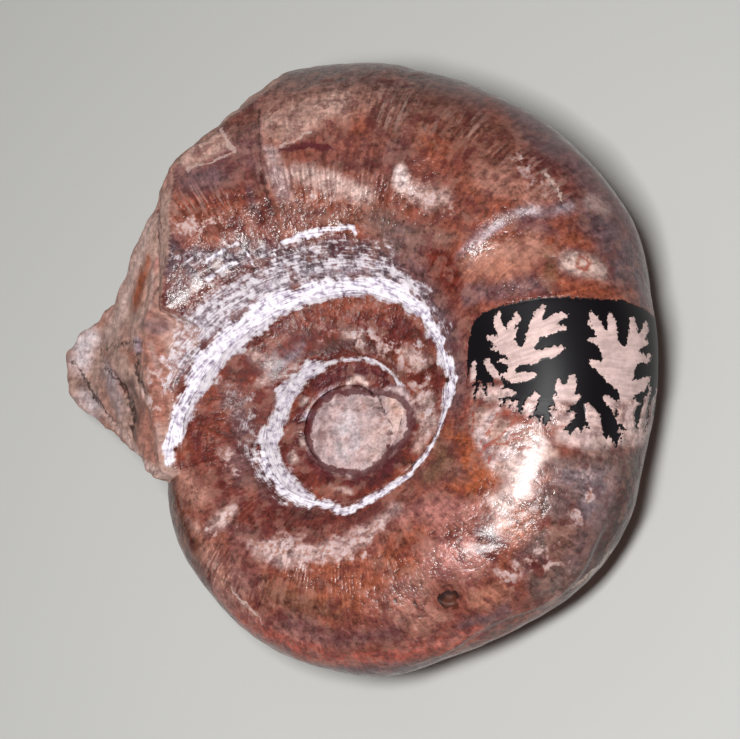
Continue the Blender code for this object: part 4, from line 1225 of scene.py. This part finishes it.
def suture_ink(spots, places, around):
    """Gap in pixels to the black ground of the suture patch; below 0 is black."""
    saddles = np.minimum(strokes_gap(spots, in_pixels(UPPER_SADDLES, UPPER_CORNER)),
                         strokes_gap(spots, in_pixels(LOWER_SADDLES, LOWER_CORNER)))
    lobes = strokes_gap(spots, in_pixels(LOWER_LOBES, LOWER_CORNER))
    ground = np.minimum(outline_gap(spots, SUTURE_OUTLINE), lobes)
    frill = SUTURE_FRILL * grain(places, SUTURE_FRILL_LENGTH)
    reach, length = SUTURE_LAST_TORN
    past_rim = (SUTURE_LAST_AROUND - np.degrees(around)) * SUTURE_RIM_FADE + reach * grain(places, length)
    return np.maximum.reduce([ground, frill - saddles, past_rim])


def paint_skin(skin):
    """Tint and finish of every point of the skin, and the fine relief that goes with them."""
    turn, around, height, depth, gap, outward, _ = skin.gathered()
    places = skin.places()
    spots = in_picture(places)
    toward, lean = [np.array(part) for part in shell_axes()[2:]]
    facing = (outward @ lean.T) @ toward
    seen = np.where((depth > 0) & (around > BROKEN_BACK), 1.0, smooth_step(*SEEN_FADE, facing))
    newest = (turn > START).astype(float)
    shell = (depth <= 0).astype(float)
    broken = (depth > 0).astype(float)
    ragged = layered(places, RAGGED_EDGES)

    def area(strokes, softness, torn=1.0):
        """1 inside strokes and 0 outside them, over a soft and torn edge."""
        return fade(-softness, softness, strokes_gap(spots, strokes) + torn * ragged)

    def cloud(strength, size, seed, limits):
        """Weight of a tone that comes and goes over the stone."""
        return strength * smooth_step(*limits, grain(places, size, seed))

    colour = np.tile(linear("red_brown"), (len(turn), 1))
    colour = laid_over(colour, "deep_red", 1 - newest)
    colour = laid_over(colour, "mauve", newest * cloud(*MAUVE_CLOUDS))
    colour = laid_over(colour, "rust", cloud(*RUST_CLOUDS))
    colour = laid_over(colour, "tan", (1 - seen) * newest * cloud(*HIDDEN_TAN_CLOUDS))
    colour = brush(colour, spots, PAINT, ragged, seen * newest * shell)
    colour = brush(colour, spots, INNER_PAINT, ragged, seen * (1 - newest))
    colour = laid_over(colour, "filling", broken)
    colour = laid_over(colour, "facet", broken * cloud(*FACET_CLOUDS))
    colour = brush(colour, spots, BROKEN_PAINT, ragged, broken * seen)
    disc = fade(*DISC_TINT_EDGE, outline_gap(spots, DISC_OUTLINE)) * seen * (1 - newest)
    colour = laid_over(colour, "disc", disc)
    colour = brush(colour, spots, DISC_PAINT, ragged, disc)

    crust = np.maximum.reduce([share * fade(*edge, strokes_gap(spots, strokes) + torn * ragged)
                               for strokes, share, edge, torn in CRUST_LAYERS])
    dusty = np.where(newest > 0, 0.0, INNER_DUST) + DUSTY_CRUMBS * fade(*CRUMB_SHARES, crust)
    hidden = HIDDEN_CRUST * fade(*HIDDEN_CRUST_EDGE, gap + HIDDEN_CRUST_TORN * ragged)
    crust = np.where(seen > MOSTLY_SEEN, crust, hidden) * (1 - disc)

    inked = (seen > SEEN_AT_ALL) & (newest > 0) & (depth <= 0)
    ink = np.where(inked, suture_ink(spots, places, around), NO_INK)
    inward = outline_gap(spots, SUTURE_OUTLINE)
    patch = fade(*PATCH_EDGE, inward) * seen * newest
    past_last = SUTURE_LAST_AROUND - SUTURE_LAST_FADE
    patch = patch * smooth_step(past_last, SUTURE_LAST_AROUND, np.degrees(around))
    colour = laid_over(colour, "saddle", patch * fade(*SADDLE_EDGE, inward))

    lined = area(LINED_AREAS, WIDE_EDGE) * seen + BACK_LINES * (1 - seen)
    shown = FAINT_LINES + (1 - FAINT_LINES) * lined
    lined = newest * shell * (1 - crust) * (1 - patch) * shown * cloud(*LINE_BREAKS)
    lined = lined * smooth_step(*LINES_OFF_SEAM, gap) * smooth_step(*LINES_OFF_INK, np.abs(ink))
    calmed = area(CALM_AREAS, WIDE_EDGE, 0.0) * seen
    glitter = area(GLITTER_AREAS, GLITTER_EDGE)
    glitter = (FAINT_GLITTER + (1 - FAINT_GLITTER) * glitter * seen) * (1 - patch)
    fine = (FINE_RELIEF + ROUGH_RELIEF * glitter) * (layered(places, ROUGH_LUMPS) - ROUGH_REST)
    fine = fine * (1 - SMOOTH_DISC * disc) * (1 - SMOOTH_PATCH * patch) * (1 - SMOOTH_CALM * calmed)
    crumble = layered(places, CRUST_LUMPS) - CRUST_REST
    fine = fine + CRUST_CRUMBLE * smooth_step(*CRUMBLE_SHARES, crust) * crumble
    for rise, softness, *strokes in RELIEF_STROKES:
        fine = fine + rise * seen * area(strokes, softness, RELIEF_TORN)

    areas = np.stack([patch, disc, calmed, broken])
    even, matt, calm = [np.max(np.array(shares)[:, None] * areas, axis=0) for shares in (EVEN, MATT, CALM)]
    matt = np.maximum.reduce([matt, INNER_MATT * (1 - newest), area(MATT_AREAS, WIDE_EDGE, 0.0)])
    flecks = np.where(seen > MOSTLY_SEEN, area(CREAM_FLECKS, WIDE_EDGE), HIDDEN_FLECKS)
    flecks = np.maximum(flecks * (1 - patch), DISC_FLECKS * disc)
    single = {"even": even, "crust": crust, "flecks": flecks, "ink": ink, "lined": lined, "matt": matt,
              "glitter": glitter, "dusty": dusty, "calm": calm, "seen": seen,
              "picture_x": spots[:, 0], "picture_y": spots[:, 1]}
    return colour, single, fine * smooth_step(*MIDDLE_FADE, from_middle(places))


class Nodes:
    """Adds nodes to a tree and links them in short words."""

    def __init__(self, tree):
        self.tree = tree

    def add(self, kind, inputs=(), **settings):
        """A node with its settings; inputs are values or sockets by name or number."""
        node = self.tree.nodes.new(kind)
        for name, value in settings.items():
            setattr(node, name, value)
        for key, value in dict(inputs).items():
            self.set(node.inputs[key], value)
        return node

    def set(self, socket, value):
        """Link a socket or set its own value."""
        if isinstance(value, bpy.types.NodeSocket):
            self.tree.links.new(value, socket)
        else:
            socket.default_value = value

    def math(self, operation, first, second=0.0, third=0.0, clamp=False):
        """One step of arithmetic."""
        node = self.add("ShaderNodeMath", {0: first, 1: second, 2: third}, operation=operation)
        node.use_clamp = clamp
        return node.outputs[0]

    def vector(self, operation, first, second=(0, 0, 0), scale=1.0):
        """One step of vector arithmetic."""
        inputs = {0: first, 3: scale} if operation == "SCALE" else {0: first, 1: second}
        node = self.add("ShaderNodeVectorMath", inputs, operation=operation)
        return node.outputs["Value" if operation in ("LENGTH", "DOT_PRODUCT", "DISTANCE") else "Vector"]


def winding_tree():
    """Winds the flat skin up into the coil, raises its growth lines and tips it onto its back."""
    tree = bpy.data.node_groups.new("wind_up_the_shell", "GeometryNodeTree")
    tree.interface.new_socket("Geometry", in_out="INPUT", socket_type="NodeSocketGeometry")
    for name, value in WINDING.items():
        socket = tree.interface.new_socket(name, in_out="INPUT", socket_type="NodeSocketFloat")
        socket.default_value = value
    tree.interface.new_socket("Lean", in_out="INPUT", socket_type="NodeSocketVector")
    tree.interface.new_socket("Place", in_out="INPUT", socket_type="NodeSocketVector")
    tree.interface.new_socket("Stone", in_out="INPUT", socket_type="NodeSocketMaterial")
    tree.interface.new_socket("Geometry", in_out="OUTPUT", socket_type="NodeSocketGeometry")
    n = Nodes(tree)
    given = n.add("NodeGroupInput").outputs
    flat = n.add("ShaderNodeSeparateXYZ", {0: n.add("GeometryNodeInputPosition").outputs[0]}).outputs

    def attribute(name, kind="FLOAT"):
        return n.add("GeometryNodeInputNamedAttribute", {"Name": name}, data_type=kind).outputs["Attribute"]

    turn, around, height = flat[0], flat[1], flat[2]
    turns = n.math("DIVIDE", turn, TAU)
    size = n.math("MULTIPLY", given["Coil Radius"], n.math("POWER", given["Growth Per Turn"], turns))
    outer = n.math("GREATER_THAN", n.math("COSINE", around), 0.0)
    stretch = n.math("MULTIPLY_ADD", outer, n.math("SUBTRACT", attribute("outer_factor"), 1.0), 1.0)
    reach = n.math("MULTIPLY", n.math("MULTIPLY", given["Inner Reach"], size), stretch)
    swayed = n.math("MULTIPLY", size, attribute("sway"))
    radius = n.math("MULTIPLY_ADD", reach, n.math("COSINE", around), swayed)
    settled = n.math("EXPONENT", n.math("DIVIDE", n.math("MULTIPLY", size, -1.0), given["Lift Fade"]))
    raised = n.math("MULTIPLY", given["Centre Lift"], settled)
    up = n.math("MULTIPLY", n.math("MULTIPLY", given["Half Width"], size), n.math("SINE", around))
    wound = n.add("ShaderNodeCombineXYZ", {0: n.math("MULTIPLY", radius, n.math("COSINE", turn)),
                                           1: n.math("MULTIPLY", radius, n.math("SINE", turn)),
                                           2: n.math("ADD", up, raised)}).outputs[0]
    wave = n.math("COSINE", n.math("MULTIPLY", turn, given["Growth Lines Per Turn"]))
    line = n.math("MULTIPLY", n.math("MULTIPLY", wave, given["Growth Line Height"]), attribute("lined"))
    out = n.vector("SCALE", attribute("outward", "FLOAT_VECTOR"), scale=n.math("ADD", height, line))
    offset = n.vector("ADD", out, attribute("set_in", "FLOAT_VECTOR"))
    placed = n.add("GeometryNodeSetPosition", {"Geometry": given["Geometry"],
                                               "Position": n.vector("ADD", wound, offset)})
    tipped = n.add("GeometryNodeTransform", {"Geometry": placed.outputs[0], "Rotation": given["Lean"],
                                             "Translation": given["Place"]})
    scaled = n.add("GeometryNodeTransform", {"Geometry": tipped.outputs[0], "Scale": [METRES_PER_MM] * 3})
    spot = n.vector("MAXIMUM", n.add("GeometryNodeInputPosition").outputs[0], FLOOR_LEVEL)
    worn = n.add("GeometryNodeSetPosition", {"Geometry": scaled.outputs[0], "Position": spot})
    real = n.add("GeometryNodeRealizeInstances", {"Geometry": worn.outputs[0]})
    dressed = n.add("GeometryNodeSetMaterial", {"Geometry": real.outputs[0], "Material": given["Stone"]})
    n.add("NodeGroupOutput", {"Geometry": dressed.outputs[0]})
    return tree


def wind_up(skin, lean, material):
    """A plain mesh of the stone, wound up by the tree."""
    turn, around, height, _, _, outward, offset = skin.gathered()
    colour, single, fine = paint_skin(skin)
    faces = np.concatenate(skin.faces)
    flat = np.stack([turn, around, height + fine], axis=-1)
    data = bpy.data.meshes.new("flat_skin")
    data.from_pydata(flat.tolist(), [], faces.tolist())
    single.update({"outer_factor": outer_factor(turn), "sway": sway(turn), "turn": np.degrees(turn),
                   "around": np.degrees(around)})
    for name, values in single.items():
        data.attributes.new(name, "FLOAT", "POINT").data.foreach_set("value", values.astype(np.float32))
    tint = np.column_stack([colour, np.ones(len(colour))]).astype(np.float32)
    data.attributes.new("tint", "FLOAT_COLOR", "POINT").data.foreach_set("color", tint.ravel())
    for name, values in (("outward", outward), ("set_in", offset)):
        entry = data.attributes.new(name, "FLOAT_VECTOR", "POINT")
        entry.data.foreach_set("vector", values.astype(np.float32).ravel())
    sheet = bpy.data.objects.new("flat_skin", data)
    bpy.context.scene.collection.objects.link(sheet)
    modifier = sheet.modifiers.new("wind_up_the_shell", "NODES")
    modifier.node_group = winding_tree()
    inputs = {item.name: item.identifier for item in modifier.node_group.interface.items_tree
              if item.in_out == "INPUT"}
    for name, value in WINDING.items():
        modifier[inputs[name]] = value
    modifier[inputs["Lean"]] = lean.to_euler("XYZ")
    modifier[inputs["Place"]] = PLACE
    modifier[inputs["Stone"]] = material
    graph = bpy.context.evaluated_depsgraph_get()
    wound = bpy.data.meshes.new_from_object(sheet.evaluated_get(graph))
    sheet.modifiers.remove(modifier)
    bpy.data.objects.remove(sheet, do_unlink=True)
    wound.name = "ammonite_stone"
    for name in ("outer_factor", "sway", "outward", "set_in"):
        wound.attributes.remove(wound.attributes[name])
    stone = bpy.data.objects.new("ammonite_stone", wound)
    bpy.context.scene.collection.objects.link(stone)
    return stone


def mend(stone):
    """Keep the stone inside the solid's box and turn its faces outward."""
    mesh = stone.data
    places = np.zeros(len(mesh.vertices) * 3)
    mesh.vertices.foreach_get("co", places)
    low, high = np.array(CAD_BOX[0]), np.array(CAD_BOX[1])
    places = np.clip(places.reshape(-1, 3), low, high)
    mesh.vertices.foreach_set("co", places.ravel())
    work = bmesh.new()
    work.from_mesh(mesh)
    bmesh.ops.recalc_face_normals(work, faces=work.faces[:])
    work.to_mesh(mesh)
    work.free()
    mesh.shade_smooth()


def stone_material():
    """Varnished stone: the tint with mottling, growth lines painted lighter on crests and darker in
    grooves, flecks, specks that partly paint glints, crust, a ring of painted shade by the disc and the
    black of the suture.
    """
    material = bpy.data.materials.new("varnished_stone")
    material.use_nodes = True
    n = Nodes(material.node_tree)
    shader = material.node_tree.nodes["Principled BSDF"]
    spot = n.add("ShaderNodeTexCoord").outputs["Object"]

    def attribute(name):
        return n.add("ShaderNodeAttribute", attribute_name=name).outputs["Fac"]

    def noise(look, vector=spot):
        scale, detail, roughness = look
        made = n.add("ShaderNodeTexNoise", {"Vector": vector, "Scale": scale, "Detail": detail,
                                            "Roughness": roughness})
        return made.outputs["Factor" if "Factor" in made.outputs else "Fac"]

    def ramp(value, low, high, start=0.0, end=1.0):
        return n.add("ShaderNodeMapRange", {"Value": value, "From Min": low, "From Max": high,
                                            "To Min": start, "To Max": end},
                     interpolation_type="SMOOTHSTEP").outputs[0]

    def times(first, second):
        return n.math("MULTIPLY", first, second)

    def swing(value, reach):
        """A noise value around 0, times its reach."""
        return times(n.math("SUBTRACT", value, 0.5), reach)

    def halves(first, second):
        """The mean of two noises."""
        return n.math("MULTIPLY_ADD", first, 0.5, times(second, 0.5))

    def mix(weight, first, second):
        made = n.add("ShaderNodeMix", data_type="RGBA")
        n.set(made.inputs[0], weight)
        n.set(made.inputs[6], first)
        n.set(made.inputs[7], second)
        return made.outputs[2]

    def paint(tone):
        return (*linear(tone), 1.0)

    def laid(below, tone, value, where, look):
        """A colour with a tone laid over it where a noise passes from one limit to the other."""
        strength, low, high = look
        tone = paint(tone) if isinstance(tone, str) else tone
        return mix(times(ramp(value, low, high), times(where, strength)), below, tone)

    def mark_gap(stroke, waited):
        """How far the stone lies outside a tapered stroke. Each step waits for the one before it, because
        the renderer holds only a few values at once."""
        nearest = None
        for (x, y, half), (next_x, next_y, next_half) in zip(stroke, stroke[1:]):
            way = Vector((next_x - x, next_y - y, 0))
            across = n.math("MULTIPLY_ADD", waited, NO_SHIFT, picture_x)
            point = n.add("ShaderNodeCombineXYZ", {0: across, 1: picture_y}).outputs[0]
            away = n.vector("SUBTRACT", point, (x, y, 0))
            along = n.vector("DOT_PRODUCT", away, way)
            share = n.math("MULTIPLY", along, 1 / way.length_squared, clamp=True)
            side = n.vector("SUBTRACT", away, n.vector("SCALE", way, scale=share))
            wide = n.math("MULTIPLY_ADD", share, next_half - half, half)
            waited = n.math("SUBTRACT", n.vector("LENGTH", side), wide)
            nearest = waited if nearest is None else n.math("MINIMUM", nearest, waited)
        return nearest

    turn, around = attribute("turn"), attribute("around")
    crust, lined, glitter = attribute("crust"), attribute("lined"), attribute("glitter")
    seen, ink, flecks = attribute("seen"), attribute("ink"), attribute("flecks")
    even = attribute("even")
    plain = n.math("SUBTRACT", 1.0, even)
    mottle, fine, grit, blush = noise(MOTTLE), noise(FINE), noise(GRIT), noise(BLUSH)
    shadow = noise(SHADOW, n.vector("ADD", spot, SHADOW_SHIFT))
    along = n.add("ShaderNodeCombineXYZ", {0: turn, 1: times(around, STREAK_STRETCH)}).outputs[0]
    streak = noise(STREAK, along)
    winding = n.add("ShaderNodeCombineXYZ", {0: times(turn, STRAND_STRETCH), 1: around}).outputs[0]
    strand = noise(CRUST_STRANDS, winding)

    shade = n.math("ADD", ramp(mottle, *MOTTLE_SHADE), ramp(fine, *FINE_SHADE))
    shade = n.math("ADD", shade, ramp(grit, *GRIT_SHADE))
    shade = n.math("MULTIPLY_ADD", shade, n.math("MULTIPLY_ADD", even, -EVEN_SHADE, 1.0), 1.0)
    shade = times(shade, ramp(streak, *STREAK_SHADE))
    # The growth lines are painted lighter on their crests and darker in their grooves, in step with their
    # raised relief: painted light and shade.
    wave = n.math("COSINE", times(turn, math.radians(GROWTH_LINES_PER_TURN)))
    groove = times(times(wave, lined), ramp(fine, *GROOVE_BREAKS))
    shade = times(shade, n.math("MULTIPLY_ADD", groove, GROOVE_SHADE, 1.0))
    tint = n.add("ShaderNodeAttribute", attribute_name="tint").outputs["Color"]
    colour = n.vector("SCALE", tint, scale=shade)
    colour = laid(colour, "cream", streak, lined, CREAM_STREAKS)
    colour = laid(colour, "maroon", streak, lined, DARK_STREAKS)
    colour = laid(colour, "tan", blush, plain, BLUSHES)
    colour = laid(colour, "maroon", shadow, plain, SHADOWS)
    flaked = n.math("ADD", halves(mottle, blush), times(flecks, FLAKES_IN_AREAS))
    flake = mix(ramp(fine, *FLAKE_GRAIN), paint("tan"), paint("flake"))
    colour = laid(colour, flake, flaked, flecks, FLAKES)
    # Pale specks: partly real pale specks and partly painted glints, weighted up in the glitter areas.
    speck = n.math("MULTIPLY_ADD", flecks, SPECKS_IN_AREAS, halves(mottle, fine))
    specks_and_glints = times(plain, n.math("MULTIPLY_ADD", glitter, GLITTER_SPECKS, FEW_SPECKS))
    colour = laid(colour, "speck", speck, specks_and_glints, SPECKS)
    colour = laid(colour, "dark_brown", fine, plain, DARK_SPECKS)

    picture_x = n.math("ADD", attribute("picture_x"), swing(shadow, MARK_WARP))
    picture_y = n.math("ADD", attribute("picture_y"), swing(blush, MARK_WARP))
    wobble = waited = swing(fine, MARK_WOBBLE)
    for tone, strength, softness, *strokes in MARKS:
        gap = None
        for stroke in strokes:
            waited = mark_gap(stroke, waited)
            gap = waited if gap is None else n.math("MINIMUM", gap, waited)
        weight = ramp(n.math("ADD", gap, wobble), -softness, softness, strength, 0.0)
        colour = mix(times(weight, seen), colour, paint(tone))
    # A wine ring just outside the disc's drawn edge: partly the dark stone around the disc and partly
    # painted shade along its edge.
    gap = n.math("ADD", wobble, n.math("MINIMUM", *[mark_gap(stroke, waited) for stroke in DISC_EDGES]))
    ring = n.math("SUBTRACT", ramp(gap, *DISC_RIM), ramp(gap, *DISC_RING))
    colour = mix(times(ring, times(seen, DISC_RING_SHARE)), colour, paint("wine"))

    pale = mix(ramp(halves(strand, fine), *CHALKY), paint("lavender"), paint("chalk"))
    pale = mix(times(attribute("dusty"), ramp(mottle, *DUST)), pale, paint("grey_brown"))
    pale = laid(pale, "mauve", strand, 1.0, DARK_STRANDS)
    pale = laid(pale, "slate", fine, 1.0, CRUST_SPECKS)
    torn = n.math("ADD", swing(fine, TORN_FINE), n.math("SUBTRACT", mottle, 0.5))
    torn = n.math("ADD", torn, n.math("ADD", swing(grit, TORN_GRIT), swing(strand, TORN_STRANDS)))
    crusted = times(ramp(n.math("ADD", crust, torn), *CRUST_COVER), ramp(crust, *CRUST_BORDER))
    colour = mix(crusted, colour, pale)
    inked = ramp(n.math("ADD", ink, swing(noise(FRILL), INK_FRILL)), *INK_BORDER)
    n.set(shader.inputs["Base Color"], mix(inked, colour, paint("ink")))

    dull = times(n.math("MAXIMUM", times(crusted, DULL_CRUST), attribute("matt")), DULLNESS)
    rough = n.math("ADD", ramp(mottle, *ROUGHNESS), dull)
    rough = n.math("MULTIPLY_ADD", n.math("SUBTRACT", INK_ROUGHNESS, rough), inked, rough)
    n.set(shader.inputs["Roughness"], rough)
    shader.inputs["Specular IOR Level"].default_value = SPECULAR
    coat = n.math("MULTIPLY_ADD", dull, -LESS_COAT, COAT, clamp=True)
    n.set(shader.inputs["Coat Weight"], n.math("MULTIPLY_ADD", inked, -COAT, coat, clamp=True))
    shader.inputs["Coat Roughness"].default_value = COAT_ROUGHNESS
    rise = n.math("MULTIPLY_ADD", mottle, MOTTLE_RISE, times(fine, FINE_RISE))
    rise = n.math("ADD", rise, times(groove, GROOVE_RISE))
    rise = n.math("ADD", rise, times(grit, n.math("MULTIPLY_ADD", glitter, GLITTER_RISE, GRIT_RISE)))
    rise = times(rise, n.math("MULTIPLY_ADD", attribute("calm"), -CALM_RISE, 1.0))
    rise = times(rise, ramp(ink, *INK_RISE))
    bump = n.add("ShaderNodeBump", {"Height": rise, "Strength": 1.0, "Distance": BUMP_METRES})
    n.set(shader.inputs["Normal"], bump.outputs[0])
    return material


def add_floor():
    """A plain pale floor."""
    data = bpy.data.meshes.new("floor")
    half = FLOOR_HALF
    corners = [(-half, -half, 0), (half, -half, 0), (half, half, 0), (-half, half, 0)]
    data.from_pydata(corners, [], [(0, 1, 2, 3)])
    material = bpy.data.materials.new("pale_floor")
    material.use_nodes = True
    shader = material.node_tree.nodes["Principled BSDF"]
    shader.inputs["Base Color"].default_value = FLOOR_COLOUR
    shader.inputs["Roughness"].default_value = FLOOR_ROUGHNESS
    data.materials.append(material)
    floor = bpy.data.objects.new("floor", data)
    bpy.context.scene.collection.objects.link(floor)


def add_light(name, place, size, power):
    """A soft light with its width level and its face toward the stone."""
    lamp = bpy.data.lights.new(name, "AREA")
    lamp.shape = "RECTANGLE"
    lamp.size, lamp.size_y = size
    lamp.energy = power
    holder = bpy.data.objects.new(name, lamp)
    holder.location = place
    holder.rotation_euler = (Vector(place) - Vector(LIGHT_AIM)).to_track_quat("Z", "Y").to_euler()
    bpy.context.scene.collection.objects.link(holder)


def main():
    """The stone on its floor, with camera and light."""
    bpy.context.scene.view_settings.view_transform = "Standard"
    add_camera()
    right, up, _, lean = shell_axes()
    stone = wind_up(lay_out_skin(), lean, stone_material())
    mend(stone)
    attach(stone, "root")
    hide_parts("ammonite")
    add_floor()
    aside, above = KEY_OFFSET
    add_light("key", eye_point() * METRES_PER_MM + right * aside + up * above, KEY_SIZE, KEY_POWER)
    add_light("fill", FILL_PLACE, FILL_SIZE, FILL_POWER)
    world = bpy.data.worlds.new("soft_room")
    world.use_nodes = True
    world.node_tree.nodes["Background"].inputs["Color"].default_value = ROOM_COLOUR
    world.node_tree.nodes["Background"].inputs["Strength"].default_value = ROOM_STRENGTH
    bpy.context.scene.world = world


main()
